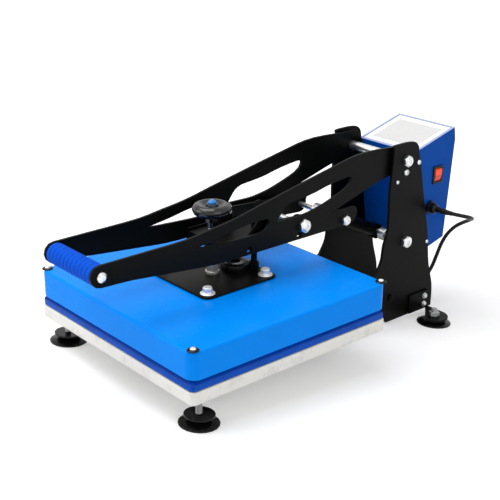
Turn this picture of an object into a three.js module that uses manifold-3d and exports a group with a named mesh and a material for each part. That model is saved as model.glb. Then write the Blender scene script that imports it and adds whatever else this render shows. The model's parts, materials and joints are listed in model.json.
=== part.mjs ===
// Clamshell flat heat press: a base plate with a silicone pad, a heated platen carried
// by two lever arms, two uprights at the back and a control box between them.
// Millimetres, +Z up, +Y from the handle towards the control box, +X to the user's right.

import * as THREE from 'three';
import { mergeVertices } from 'three/addons/utils/BufferGeometryUtils.js';
import Module from 'manifold-3d';

const wasm = await Module();
wasm.setup();

// Fits shared by all pieces
const gap = 0.3; // between two pieces that touch or turn on each other
const overrun = 5; // how far a cutting tool reaches past the face that it cuts
const roundSides = 20; // facets round a shaft or a hole
const hexSides = 6;
const curveSteps = 4; // facets along each stretch of a curved outline
const armSteps = 3;
const halfTurn = Math.PI;
const quarterTurn = halfTurn / 2;
const mergeDistance = 1e-4;

// The whole press stands nose-down on its shorter front feet
const leanDegrees = 3.88;
const lean = THREE.MathUtils.degToRad(leanDegrees);

// Base plate and pad: the press's own height is counted from the front feet
const baseWidth = 400;
const baseDepth = 393;
const baseThickness = 21;
const baseCorner = 8;
const baseEdge = 1.5;
const baseLift = 46.8;
const baseTop = baseLift + baseThickness;
const padThickness = 12;
const padInset = 1;
const padEdge = 1;
const padBottom = baseTop + gap;
const padTop = padBottom + padThickness;

// Cross bars under the base plate
const crossbarWidth = 30;
const crossbarHeight = 20;
const crossbarWall = 2;
const crossbarOverhang = 60; // past the frame's side plates
const crossbarFrontY = 95;
const crossbarRearY = 330;

// Heated platen and its cover
const platenMargin = 10; // the platen's edge behind the cover's side
const platenThickness = 16;
const platenEdge = 1;
const coverRise = 4.7; // the cover's rim above the platen's face
const coverHeight = 44.5;
const coverCorner = 17;
const coverEdge = 5;
const coverWall = 3;
const platenBottom = padTop + gap;
const coverBottom = platenBottom + coverRise;
const platenCentreY = baseDepth / 2;

// Mounting plate on the cover, with its four flanged bolts
const plateSize = 150;
const plateThickness = 3.2;
const plateCorner = 14;
const plateEdge = 1;
const plateSetBack = 3.4; // behind the platen's centre
const plateBoltPitch = 118;
const flangeRadius = 12;
const flangeHeight = 2.6;
const plateBoltAcross = 14;
const plateBoltHeight = 9.5;
const boltDomeShare = 0.8; // width of a bolt head's crown, of its hexagon

// Pressure screw with its knob, thrust socket and nut
const screwSetBack = 1.5; // behind the platen's centre
const screwRadius = 6;
const screwSeat = 2; // floor of the thrust socket under the screw's end
const socketRadius = 12;
const socketHeight = 5;
const thrustNutAcross = 18;
const thrustNutHeight = 18;
const hubRadius = 9;
const hubBottom = 212;
const hubFlute = 0.8;
const hubFlutes = 12;
const hubFlareRadius = 13;
const hubFlareHeight = 10;
const knobRadius = 32;
const knobBottom = 232;
const knobTop = 251;
const knobCapRadius = 6.8;
const knobCapHeight = 6;
const knobCapSink = 2;
const knobOverlap = 4; // the hub runs up into the disc

// Guide pins that keep the platen square to the bridge
const guideSpread = 60;
const guideSetBack = 62; // behind the screw
const guideRadius = 5;
const guideCollarAcross = 15;
const guideCollarHeight = 14;
const guideTop = 216;
const guideClearance = 0.6;

// Pivot of the lever and the fixed shaft under it
const pivotY = 570;
const pivotZ = 267;
const pivotRadius = 5.5;
const sleeveRadius = 8.5;
const washerRadius = 10;
const anchorY = 579;
const anchorZ = 117;
const anchorRadius = 6;
const anchorCollarRadius = 12;
const anchorCollarInner = 17;
const anchorCollarOuter = 32;

// Lever arms: two plates that run from the pivot, past the cross shaft, to the handle
const armOuter = 63; // outer face from the middle of the press
const armThickness = 5;
const armInner = armOuter - armThickness;
const armDepth = 60;
const armEndRadius = 27;
const handleEndRadius = 17;
const pivotToCross = 234;
const pivotToCrossDrop = 67;
const crossToHandle = 388;
const crossToHandleRise = 13;
const pivotToTail = 138;
const pivotToTailDrop = 79;
const armHoleRadius = 5;

// Shafts through the arms
const crossRadius = 5.5;
const crossHeadAcross = 21;
const crossHeadHeight = 8;
const spacerRadius = 9;
const tailRadius = 5;
const tailHeadAcross = 16;
const tailHeadHeight = 7;
const headCrownShare = 0.35; // height of a bolt head's crown, of its height

// Handle bar and its foam grip
const handleBarRadius = 10;
const handleBoltRadius = 8;
const handleBoltHeight = 7;
const gripRadius = 16.5;
const gripRibDepth = 1.2;
const gripRibs = 12;
const gripGrooveShare = 0.3; // of a rib's length, for each of its sloping sides
const gripSides = 12;
const gripEndRoom = 0.8; // bare bar at each end of the grip

// Bridge between the arms, which takes the pressure screw
const bridgeOuter = 49;
const bridgeThickness = 4;
const bridgeInner = bridgeOuter - bridgeThickness;
const bridgeNose = 14; // in front of the screw
const bridgeTop = 200;
const bridgeRiseStart = 46; // behind the screw
const bridgeRiseEnd = 76;
const bridgeRise = 17;
const bridgeBottom = 178;
const bridgeEndRadius = 15;
const bridgeCrossFrom = 120; // degrees round the cross shaft where the plates' top edge meets it
const bridgeCrossTo = 60;
const webThickness = 5;
const webDrop = 4; // below the side plates' top edge
const webRear = 92; // behind the screw
const bossRadius = 13;
const bossHeight = 16;

// Uprights: side plates with a forward leg under the base plate
const uprightInner = 66.5;
const uprightThickness = 5.5;
const uprightOuter = uprightInner + uprightThickness;
const uprightBottom = -32;
const uprightWidth = 100;
const uprightRise = pivotZ - uprightBottom;
const legFrontY = 60;
const legBottom = 14;
const legTop = baseLift - gap;
const legChamfer = 20;
const pivotHeadAcross = 19;
const pivotHeadHeight = 7.5;
const tieY = 550;
const tieZ = 16;
const tieRadius = 7;
const tieBoltRadius = 4;
const tieHeadAcross = 12;
const tieHeadHeight = 4;

// Feet: rubber cups flat on the floor, each with a stud
const frontFootInset = 25.1; // from the base plate's side
const frontFootX = baseWidth / 2 - frontFootInset;
const frontFootY = 31.1;
const cupRadius = 31;
const cupRim = 2.5;
const cupHeight = 9;
const cupTopRadius = 13;
const crownRadius = 23.5;
const crownHeight = 3;
const crownNeck = 4;
const studRadius = 5;
const studTilt = 0.5; // room for the stud's tilt over the cup
const studNutAcross = 17;
const studNutHeight = 7;
const rearFootX = 114.5;
const rearFootY = 624.5;
const bracketTop = -26;
const bracketThickness = 4;
const bracketRadius = 25;
const bracketFlangeHeight = 36;
const rearStudTop = -12;

// Control box between the uprights
const boxSide = 66.2;
const boxFrontY = 598;
const boxDepth = 110;
const boxBottomZ = 80;
const boxHeight = 224;
const boxWall = 2;
const panelRim = 5;
const panelThickness = 3;
const panelSink = 1;
const displayWidth = 98;
const displayDepth = 74;
const displayThickness = 1.6;
const boardThickness = 2;
const boardDepth = 60;
const boardHeight = 100;
const boardRelayHeight = 22;
const boardRelayDepth = 30;
const boardRelayTall = 33;
const boardY = 655;
const boardZ = 185;

// Rocker switch on the box's right side
const switchY = 663;
const switchZ = 223;
const bezelWidth = 25;
const bezelHeight = 32;
const bezelLip = 2.4;
const bezelDepth = 16;
const bezelWall = 2;
const pocketWall = 2 * bezelWall;
const rockerPocketDepth = 11;
const rockerRoom = 0.7;
const rockerRise = 2.5; // crown of the rocker past the bezel
const rockerPivotDepth = 5;
const rockerTiltDegrees = 7;

// Cable gland
const glandRearShare = 0.77; // of the upright's width, behind the pivot
const glandY = pivotY + glandRearShare * uprightWidth;
const glandZ = 165;
const glandThreadRadius = 8;
const glandThreadLength = 8;
const glandCollarAcross = 22;
const glandCollarHeight = 6;
const glandNutRadius = 9;
const glandNutHeight = 12;
const glandNutChamfer = 3;
const glandTailRadius = 5.5;
const glandTailHeight = 11;

// Mains cord, its coil behind the press and its plug
const cordRadius = 3.5;
const cordSides = 10;
const cordSteps = 44;
const cordFloor = 0.6; // the cord's least height over the floor
const cordLevel = cordRadius + cordFloor;
const coilX = -135;
const coilY = 219;
const coilRadius = 42; // centre line of the outer loops
const coilLayers = 4;
const coilTurnsPerLayer = 1;
const coilTurns = coilLayers * coilTurnsPerLayer;
const coilPitch = 7.7; // between neighbouring loops and between layers
const coilStepsPerTurn = 24;
const coilSides = 6;
const coilClimbTurns = 0.5; // over which the cord climbs to the next layer
const coilTop = cordLevel + (coilLayers - 1) * coilPitch;
const plugWidth = 36;
const plugHeight = 20;
const plugLength = 30;
const plugCorner = 6;
const plugTailRadius = 5.5;
const plugTailLength = 14;
const plugTailSides = 12;
const pinRadius = 2.4;
const pinLength = 19;
const pinPitch = 19;
const leadSteps = 8;

// The cord's way from the gland, round the back of the control box, down to the floor and
// along it to the coil. It starts and ends straight.
const cordRoute = [
  [95.8, 332.3, 206.3], [104, 332.3, 206.3], [115, 335.5, 206], [125, 343.5, 204.5],
  [131, 356, 201.5], [131, 371, 197], [124, 386, 191], [110, 398, 183], [91, 406, 172],
  [71, 411, 158], [54, 413, 139], [42, 414, 116], [34, 414, 90], [26, 413, 63], [13, 411, 37],
  [-9, 408, 17], [-38, 404, 6.5], [-72, 397, cordLevel], [-108, 386, cordLevel],
  [-142, 371, cordLevel], [-165, 348, cordLevel], [-176, 318, cordLevel],
  [-178, 286, cordLevel], [-177, 256, cordLevel], [-177, 232, cordLevel],
  [-177, 219.4, cordLevel],
];
// From the coil's upper end down to the plug beside the coil
const leadRoute = [
  [-177, 218.6, coilTop], [-177, 208, coilTop], [-177, 192, 23.5], [-177, 176, 17],
  [-177, 162, 12], [-177, 150, 10.6], [-177, 142, 10.6],
];

// Gas strut between the fixed shaft and the lever's tail shaft
const strutEyeRadius = 14;
const strutEyeWidth = 14;
const strutBodyRadius = 12;
const strutRodRadius = 5;
const strutBodyShare = 0.66; // length of the cylinder, of the distance between the shafts
const strutRodShare = 0.34; // the rod's hidden end, of the same distance
const tailEyeRadius = 12.5;
const tailEyeWidth = 12;
const tailEyeRoom = 3.2; // lets the tail shaft's arc and the strut's straight stroke differ

// Colours
const blue = 0x0688ff;
const deepBlue = 0x0450c8;
const boxBlue = 0x0340a0;
const black = 0x151612;
const rubberBlack = 0x1b1b1c;
const castGrey = 0xe4e2da;
const steel = 0xb9bbbd;
const zinc = 0xa6a59c;
const aluminium = 0x8d9093;
const redPlastic = 0xd9200f;
const panelWhite = 0xdfe3e6;
const displayGrey = 0x9aa3ab;

const paint = (color, roughness = 0.4) =>
  new THREE.MeshStandardMaterial({ color, roughness, metalness: 0 });
const metal = (color, roughness = 0.35) =>
  new THREE.MeshStandardMaterial({ color, roughness, metalness: 1 });

// Solids: closed meshes with shared vertices, joined and cut
function toSolid(geometry) {
  const plain = geometry.clone();
  plain.deleteAttribute('normal');
  plain.deleteAttribute('uv');
  const merged = mergeVertices(plain, mergeDistance);
  const vertProperties = new Float32Array(merged.attributes.position.array);
  const triVerts = new Uint32Array(merged.index.array);
  return new wasm.Manifold(new wasm.Mesh({ numProp: 3, vertProperties, triVerts }));
}

function toGeometry(solid) {
  const mesh = solid.getMesh();
  const geometry = new THREE.BufferGeometry();
  const positions = new Float32Array(mesh.vertProperties);
  geometry.setAttribute('position', new THREE.BufferAttribute(positions, 3));
  geometry.setIndex(new THREE.BufferAttribute(new Uint32Array(mesh.triVerts), 1));
  return geometry;
}

const cut = (body, ...tools) =>
  toGeometry(tools.reduce((left, tool) => left.subtract(toSolid(tool)), toSolid(body)));
const join = (first, ...others) =>
  toGeometry(others.reduce((sum, other) => sum.add(toSolid(other)), toSolid(first)));
const common = (first, second) => toGeometry(toSolid(first).intersect(toSolid(second)));

// Basic forms
const alongX = (geometry) => geometry.rotateZ(-quarterTurn);
const alongZ = (geometry) => geometry.rotateX(quarterTurn);
const box = (x, y, z) => new THREE.BoxGeometry(x, y, z);

// Length of a hole's cutter that reaches well past both faces of what it cuts
const through = (thickness) => thickness + 4 * overrun;
const rodX = (radius, length, sides = roundSides) =>
  alongX(new THREE.CylinderGeometry(radius, radius, length, sides));
const rodZ = (radius, length, sides = roundSides) =>
  alongZ(new THREE.CylinderGeometry(radius, radius, length, sides));
const hexRadius = (across) => across / 2 / Math.cos(halfTurn / hexSides);
const toPoints = (profile) => profile.map(([radius, along]) => new THREE.Vector2(radius, along));
const turnedX = (profile, sides = roundSides) =>
  alongX(new THREE.LatheGeometry(toPoints(profile), sides));
const turnedZ = (profile, sides = roundSides) =>
  alongZ(new THREE.LatheGeometry(toPoints(profile), sides));

// A plate whose outline is drawn in y and z, with its thickness along x from the given face
function sidePlate(shape, fromX, thickness, curveSegments = curveSteps) {
  const geometry = new THREE.ExtrudeGeometry(shape, {
    depth: thickness,
    bevelEnabled: false,
    curveSegments,
  });
  const yToX = new THREE.Matrix4().makeBasis(
    new THREE.Vector3(0, 1, 0),
    new THREE.Vector3(0, 0, 1),
    new THREE.Vector3(1, 0, 0),
  );
  return geometry.applyMatrix4(yToX).translate(fromX, 0, 0);
}

function roundedOutline(width, depth, corner) {
  const shape = new THREE.Shape();
  const x = width / 2;
  const y = depth / 2;
  shape.moveTo(x - corner, -y);
  shape.absarc(x - corner, corner - y, corner, -quarterTurn, 0);
  shape.absarc(x - corner, y - corner, corner, 0, quarterTurn);
  shape.absarc(corner - x, y - corner, corner, quarterTurn, halfTurn);
  shape.absarc(corner - x, corner - y, corner, halfTurn, halfTurn + quarterTurn);
  return shape;
}

// A slab lying flat, its top and bottom edges rounded by the given amount, bottom at z = 0
function slab(width, depth, height, corner, edge) {
  const outline = roundedOutline(width - 2 * edge, depth - 2 * edge, corner - edge);
  const bevelSegments = edge > baseEdge ? curveSteps - 1 : 1;
  const geometry = new THREE.ExtrudeGeometry(outline, {
    depth: height - 2 * edge,
    bevelThickness: edge,
    bevelSize: edge,
    bevelSegments,
    curveSegments: curveSteps + 1,
  });
  return geometry.translate(0, 0, edge);
}

// Tools that cut through the whole press from side to side
const acrossPress = 2 * baseWidth;
const drill = (y, z, radius) => rodX(radius, acrossPress).translate(0, y, z);
const punch = (shape) => sidePlate(shape, -baseWidth, acrossPress, armSteps - 1);

// A hexagon head with a crowned end, along x from its seat
function headX(across, height) {
  const crown = height * headCrownShare;
  const radius = hexRadius(across);
  const hexagon = rodX(radius, height, hexSides).translate(height / 2, 0, 0);
  const dome = turnedX([
    [0, -overrun],
    [radius + overrun, -overrun],
    [radius + crown, height - 2 * crown],
    [radius * boltDomeShare, height],
    [0, height],
  ]);
  return common(hexagon, dome);
}

// Adds a named mesh to a group, and gives the mesh back so that it can be placed
function add(parent, name, geometry, material) {
  const mesh = new THREE.Mesh(toGeometry(toSolid(geometry)), material);
  mesh.name = name;
  parent.add(mesh);
  return mesh;
}

const group = new THREE.Group();
const stand = new THREE.Group(); // the press and its feet, without the cord
group.add(stand);
const press = new THREE.Group();
press.rotation.x = lean;
press.position.z = -frontFootY * Math.sin(lean);
stand.add(press);

// Where a point of the leaning press lies over the floor
const onFloor = (y, z) => new THREE.Vector2(
  y * Math.cos(lean) - z * Math.sin(lean),
  y * Math.sin(lean) + z * Math.cos(lean) + press.position.z,
);
const floorUnder = (y) => -(y - frontFootY) * Math.tan(lean);

// Base plate, pad and cross bars
function addBase() {
  const plate = slab(baseWidth, baseDepth, baseThickness, baseCorner, baseEdge);
  add(press, 'base_plate', plate, metal(castGrey, 0.5)).position.set(0, platenCentreY, baseLift);
  const pad = slab(
    baseWidth - 2 * padInset, baseDepth - 2 * padInset, padThickness, baseCorner, padEdge,
  );
  add(press, 'silicone_pad', pad, paint(deepBlue, 0.6)).position.set(0, platenCentreY, padBottom);
  const length = 2 * (uprightOuter + crossbarOverhang);
  const tube = cut(
    box(length, crossbarWidth, crossbarHeight),
    box(length + overrun, crossbarWidth - 2 * crossbarWall, crossbarHeight - 2 * crossbarWall),
    ...[-1, 1].map((side) => box(uprightThickness + 2 * gap, crossbarWidth + overrun, crossbarHeight)
      .translate(side * (uprightInner + uprightThickness / 2), 0, -crossbarHeight / 2)),
  );
  const z = legTop - crossbarHeight / 2;
  add(press, 'crossbar_front', tube, paint(black)).position.set(0, crossbarFrontY, z);
  add(press, 'crossbar_rear', tube, paint(black)).position.set(0, crossbarRearY, z);
}

// Upright side plates, drawn from the pivot: shares of the width behind it and of its height
const uprightFrontShares = [
  [-0.63, 0.334], [-0.49, 0.415], [-0.45, 0.508], [-0.36, 0.61], [-0.37, 0.813], [-0.35, 0.923],
];
const uprightTopShares = [[-0.32, 1.084], [-0.29, 1.106], [0.15, 1.104], [0.3, 1.075]];
const uprightRearShares = [
  [0.34, 1.027], [0.43, 0.916], [0.54, 0.749], [0.71, 0.522], [0.81, 0.304], [0.95, 0.14],
];
const uprightHeelShare = 0.96;
const uprightToeShare = -0.28;
const uprightArchShares = [[-0.36, 0.04], [-0.5, 0.14], [-0.75, 0.154]];
const uprightGussetShare = -1.05;

function uprightShape() {
  const at = ([back, up]) => new THREE.Vector2(
    pivotY + back * uprightWidth,
    uprightBottom + up * uprightRise,
  );
  const shape = new THREE.Shape();
  shape.moveTo(legFrontY, legTop);
  shape.lineTo(legFrontY, legBottom + legChamfer);
  shape.lineTo(legFrontY + legChamfer, legBottom);
  const [toeArch, midArch] = uprightArchShares.map(at);
  shape.lineTo(pivotY + uprightArchShares[2][0] * uprightWidth, legBottom);
  shape.splineThru([midArch, toeArch, at([uprightToeShare, 0])]);
  shape.lineTo(pivotY + uprightHeelShare * uprightWidth, uprightBottom);
  shape.splineThru(uprightRearShares.map(at).reverse());
  shape.splineThru(uprightTopShares.map(at).reverse());
  shape.splineThru(uprightFrontShares.map(at).reverse());
  shape.splineThru([new THREE.Vector2(pivotY + uprightGussetShare * uprightWidth, legTop)]);
  return shape;
}

function addUprights() {
  const shape = uprightShape();
  const slotHeight = crossbarHeight / 2 + gap;
  const slots = [crossbarFrontY, crossbarRearY].map((y) =>
    box(acrossPress, crossbarWidth + 2 * gap, 2 * slotHeight).translate(0, y, legTop));
  const tools = [
    ...slots,
    drill(pivotY, pivotZ, pivotRadius + gap),
    drill(anchorY, anchorZ, anchorRadius + gap),
    drill(tieY, tieZ, tieBoltRadius + gap),
  ];
  for (const [name, fromX] of [['upright_left', -uprightOuter], ['upright_right', uprightInner]]) {
    add(press, name, cut(sidePlate(shape, fromX, uprightThickness), ...tools), paint(black));
  }
}

// Fixed shafts between the uprights: each is one turned bar with a bolt head at each end
function shaftWithHeads(radius, reach, across, height) {
  const bar = rodX(radius, 2 * (reach + gap) + height);
  const head = headX(across, height);
  const right = head.clone().translate(reach + gap, 0, 0);
  const left = head.clone().rotateZ(halfTurn).translate(-reach - gap, 0, 0);
  return join(bar, right, left);
}

function addFixedShafts() {
  const washerInner = armOuter + gap;
  const washerWidth = uprightInner - gap - washerInner;
  const washers = [-1, 1].map((side) =>
    rodX(washerRadius, washerWidth).translate(side * (washerInner + washerWidth / 2), 0, 0));
  const pivot = join(
    shaftWithHeads(pivotRadius, uprightOuter, pivotHeadAcross, pivotHeadHeight), ...washers,
  );
  add(press, 'pivot_shaft', pivot, metal(steel)).position.set(0, pivotY, pivotZ);
  const collarWidth = anchorCollarOuter - anchorCollarInner;
  const collars = [-1, 1].map((side) => rodX(anchorCollarRadius, collarWidth)
    .translate(side * (anchorCollarInner + collarWidth / 2), 0, 0));
  const anchor = join(
    shaftWithHeads(anchorRadius, uprightOuter, pivotHeadAcross, pivotHeadHeight), ...collars,
  );
  add(press, 'strut_anchor_shaft', anchor, metal(steel)).position.set(0, anchorY, anchorZ);
  const tieReach = uprightInner - gap;
  const tie = join(
    rodX(tieRadius, 2 * tieReach),
    shaftWithHeads(tieBoltRadius, uprightOuter, tieHeadAcross, tieHeadHeight),
  );
  add(press, 'tie_bar', tie, paint(black)).position.set(0, tieY, tieZ);
}

// Rear foot brackets: a tongue with a round end and a flange up the upright's outer face
function addFootBrackets() {
  const tongueLength = rearFootX - uprightOuter - gap;
  const flangeWidth = 2 * bracketRadius;
  const outline = new THREE.Shape();
  outline.moveTo(-tongueLength, -bracketRadius);
  outline.absarc(0, 0, bracketRadius, -quarterTurn, quarterTurn);
  outline.lineTo(-tongueLength, bracketRadius);
  const tongue = new THREE.ExtrudeGeometry(outline, {
    depth: bracketThickness,
    bevelEnabled: false,
    curveSegments: roundSides / 2,
  });
  const flange = box(bracketThickness, flangeWidth, bracketFlangeHeight).translate(
    bracketThickness / 2 - tongueLength, 0, bracketFlangeHeight / 2,
  );
  const bracket = cut(join(tongue, flange), rodZ(studRadius + gap, through(bracketThickness)));
  for (const [name, side] of [['foot_bracket_right', 1], ['foot_bracket_left', -1]]) {
    const mesh = add(press, name, bracket, paint(black));
    mesh.position.set(side * rearFootX, rearFootY, bracketTop - bracketThickness);
    mesh.rotation.z = side > 0 ? 0 : halfTurn;
  }
}

// A cup stands level on the floor under a stud that leans with the press
function addFoot(name, x, y, cupProfile, studBottom, studTop, nutZ) {
  const cup = add(stand, `${name}_cup`, turnedZ(cupProfile), paint(rubberBlack, 0.7));
  cup.position.set(x, onFloor(y, floorUnder(y)).x, 0);
  const height = studTop - studBottom;
  const stud = join(
    rodZ(studRadius, height).translate(0, 0, height / 2),
    rodZ(hexRadius(studNutAcross), studNutHeight, hexSides)
      .translate(0, 0, nutZ - studBottom + studNutHeight / 2),
  );
  add(press, `${name}_stud`, stud, metal(zinc)).position.set(x, y, studBottom);
}

function addFeet() {
  const skirt = [[0, 0], [cupRadius, 0], [cupRadius, cupRim], [cupTopRadius, cupHeight]];
  const rearProfile = [...skirt, [0, cupHeight]];
  const crownBottom = cupHeight + crownNeck;
  const crownTop = crownBottom + crownHeight;
  const frontProfile = [
    ...skirt, [cupTopRadius, crownBottom], [crownRadius, crownBottom], [crownRadius, crownTop],
    [0, crownTop],
  ];
  const frontBottom = floorUnder(frontFootY) + crownTop + studTilt + gap;
  const rearBottom = floorUnder(rearFootY) + cupHeight + studTilt + gap;
  for (const [side, sign] of [['right', 1], ['left', -1]]) {
    addFoot(`front_foot_${side}`, sign * frontFootX, frontFootY, frontProfile,
      frontBottom, baseLift - gap, baseLift - gap - studNutHeight);
    addFoot(`rear_foot_${side}`, sign * rearFootX, rearFootY, rearProfile,
      rearBottom, rearStudTop, bracketTop + gap);
  }
}

// Control box: a folded sheet shell, open under its sloping panel
const boxShares = [[0, 0.872], [0.964, 1], [1, 0.897], [0.873, 0.076], [0.282, 0]];

function boxPoints() {
  return boxShares.map(([back, up]) => new THREE.Vector2(
    boxFrontY + back * boxDepth, boxBottomZ + up * boxHeight,
  ));
}

// Moves each side of a clockwise convex outline inwards by a distance
function inset(points, distance) {
  return points.map((point, index) => {
    const before = points[(index + points.length - 1) % points.length];
    const after = points[(index + 1) % points.length];
    const into = point.clone().sub(before).normalize();
    const out = after.clone().sub(point).normalize();
    const bisector = new THREE.Vector2(into.y + out.y, -into.x - out.x).normalize();
    const reach = distance / (into.y * bisector.x - into.x * bisector.y);
    return point.clone().addScaledVector(bisector, reach);
  });
}

// The sloping top face: its middle, its slope and its length from front to rear
function topFace() {
  const [front, rear] = boxPoints();
  const along = rear.clone().sub(front);
  return { middle: front.clone().lerp(rear, 0.5), slope: along.angle(), length: along.length() };
}

function rockerPocket() {
  return {
    width: bezelWidth - 2 * pocketWall,
    height: bezelHeight - 2 * pocketWall,
  };
}

function addControlBox() {
  const points = boxPoints();
  const outer = sidePlate(new THREE.Shape(points), -boxSide, 2 * boxSide);
  const inner = sidePlate(
    new THREE.Shape(inset(points, boxWall)), boxWall - boxSide, 2 * (boxSide - boxWall),
  );
  const top = topFace();
  const panelWidth = 2 * (boxSide - panelRim);
  const panelDepth = top.length - 2 * panelRim;
  const onTop = (geometry) => geometry.rotateX(top.slope).translate(0, top.middle.x, top.middle.y);
  const mouth = onTop(box(panelWidth, panelDepth, through(boxWall)));
  const rockerHole = box(
    through(boxWall), bezelWidth - 2 * bezelWall, bezelHeight - 2 * bezelWall,
  ).translate(boxSide, switchY, switchZ);
  const glandHole = rodX(glandThreadRadius + gap, through(boxWall))
    .translate(boxSide, glandY, glandZ);
  const shell = cut(outer, inner, mouth, rockerHole, glandHole);
  add(press, 'control_box', shell, paint(boxBlue));
  addPanel(top, panelWidth - 2 * gap, panelDepth - 2 * gap);
  const board = join(
    box(boardThickness, boardDepth, boardHeight),
    box(boardRelayHeight, boardRelayDepth, boardRelayTall).translate(boardRelayHeight / 2, 0, 0),
  );
  add(press, 'controller_board', board, paint(black))
    .position.set(boxWall + gap + boardThickness / 2 - boxSide, boardY, boardZ);
}

function addPanel(top, width, depth) {
  const face = new THREE.Group();
  face.position.set(0, top.middle.x, top.middle.y);
  face.rotation.x = top.slope;
  press.add(face);
  const recess = box(displayWidth, displayDepth, displayThickness)
    .translate(0, 0, (panelThickness - displayThickness) / 2 + gap);
  const plate = cut(box(width, depth, panelThickness), recess);
  add(face, 'control_panel', plate, paint(panelWhite)).position.z = -panelSink - panelThickness / 2;
  const display = box(displayWidth - 2 * gap, displayDepth - 2 * gap, displayThickness - gap);
  const displayMesh = add(face, 'display_window', display, paint(displayGrey, 0.2));
  displayMesh.position.z = -panelSink - displayThickness / 2 + gap;
}

// Rocker switch: a bezel with a pocket, and a rocker that tilts in it
function addSwitch() {
  const place = new THREE.Group();
  place.position.set(boxSide, switchY, switchZ);
  press.add(place);
  const pocket = rockerPocket();
  const lip = box(bezelLip, bezelWidth, bezelHeight).translate(gap + bezelLip / 2, 0, 0);
  const body = box(
    bezelDepth, bezelWidth - 2 * (bezelWall + gap), bezelHeight - 2 * (bezelWall + gap),
  ).translate(gap + bezelLip / 2 - bezelDepth / 2, 0, 0);
  const hollow = box(rockerPocketDepth + overrun, pocket.width, pocket.height)
    .translate(bezelLip + gap - rockerPocketDepth + (rockerPocketDepth + overrun) / 2, 0, 0);
  const bezel = cut(join(lip, body), hollow);
  add(place, 'switch_bezel', bezel, paint(black, 0.5));
  const width = pocket.width - 2 * gap;
  const half = pocket.height / 2 - rockerRoom;
  const crown = new THREE.Shape();
  const crownTop = bezelLip + gap + rockerRise;
  crown.moveTo(rockerPivotDepth - crownTop, -half);
  crown.lineTo(rockerPivotDepth, -half);
  crown.quadraticCurveTo(rockerPivotDepth + rockerRise, 0, rockerPivotDepth, half);
  crown.lineTo(rockerPivotDepth - crownTop, half);
  const rocker = new THREE.ExtrudeGeometry(crown, {
    depth: width, bevelEnabled: false, curveSegments: curveSteps + 1,
  });
  rocker.translate(0, 0, -width / 2).rotateX(quarterTurn);
  const mesh = add(place, 'power_rocker', rocker, paint(redPlastic, 0.3));
  mesh.position.x = bezelLip + gap - rockerPivotDepth;
  mesh.rotation.y = THREE.MathUtils.degToRad(rockerTiltDegrees);
}

// Cable gland on the box's right side
function addGland() {
  const collarEnd = gap + glandCollarHeight;
  const nutEnd = collarEnd + glandNutHeight;
  const tailEnd = nutEnd + glandTailHeight;
  const thread = rodX(glandThreadRadius, glandThreadLength + gap)
    .translate(gap - glandThreadLength / 2, 0, 0);
  const collar = rodX(hexRadius(glandCollarAcross), glandCollarHeight, hexSides)
    .translate(gap + glandCollarHeight / 2, 0, 0);
  const nut = turnedX([
    [0, collarEnd - gap],
    [glandNutRadius, collarEnd - gap],
    [glandNutRadius, nutEnd - glandNutChamfer],
    [glandTailRadius + gap, nutEnd],
    [glandTailRadius, nutEnd],
    [cordRadius + gap, tailEnd],
    [0, tailEnd],
  ]);
  add(press, 'cable_gland', join(thread, collar, nut), paint(black, 0.5))
    .position.set(boxSide, glandY, glandZ);
  return tailEnd;
}

// Lever: everything that swings on the pivot is placed from the pivot's centre
const lever = new THREE.Group();
lever.position.set(0, pivotY, pivotZ);
press.add(lever);
const crossY = -pivotToCross;
const crossZ = -pivotToCrossDrop;
const handleY = crossY - crossToHandle;
const handleZ = crossZ + crossToHandleRise;
const tailY = -pivotToTail;
const tailZ = -pivotToTailDrop;

// Outlines of an arm. The first share runs from 0 at the pivot to 1 at the cross shaft and
// 2 at the handle; the second is the height over the line through them, of the arm's depth.
const armTopShares = [
  [1.64, 0.38], [1.5, 0.5], [1.36, 0.65], [1.19, 0.92], [0.76, 1.13], [0.44, 0.98], [0.1, 0.56],
];
const armLowerShares = [[1.87, -0.29], [1.6, -0.41], [1.42, -0.46], [1, -0.37]];
const armTailShares = [[0.51, -0.43], [0.475, -0.5], [0.463, -0.7], [0.5, -0.89], [0.6, -0.82]];
const armNotchShares = [[0.16, -0.22], [0.43, -0.185], [0.73, -0.18]];
const slimWindowShares = [
  [[1.564, 0.11], [1.51, 0.09], [1.363, 0.07], [1.271, 0.075]],
  [[1.215, 0.13], [1.19, 0.3], [1.196, 0.425]],
  [[1.25, 0.43], [1.356, 0.357], [1.46, 0.22], [1.564, 0.11]],
];
const leafWindowShares = [
  [[1.147, 0.285], [1.108, 0.61], [1.07, 0.73]],
  [[0.92, 0.73], [0.752, 0.673], [0.564, 0.547], [0.535, 0.44], [0.547, 0.327]],
  [[0.607, 0.245], [0.778, 0.22], [0.889, 0.243], [1.01, 0.3], [1.09, 0.29], [1.147, 0.285]],
];
const armHoleShares = [[1.293, -0.3], [1.02, -0.23]];

function armPoint([along, over]) {
  const front = Math.max(along - 1, 0);
  const rear = Math.min(along, 1);
  return new THREE.Vector2(
    rear * crossY + front * (handleY - crossY),
    rear * crossZ + front * (handleZ - crossZ) + over * armDepth,
  );
}

function windowShape(stretches) {
  const shape = new THREE.Shape();
  const first = armPoint(stretches[0][0]);
  shape.moveTo(first.x, first.y);
  shape.splineThru(stretches[0].slice(1).map(armPoint));
  stretches.slice(1).forEach((stretch) => shape.splineThru(stretch.map(armPoint)));
  return shape;
}

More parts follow.
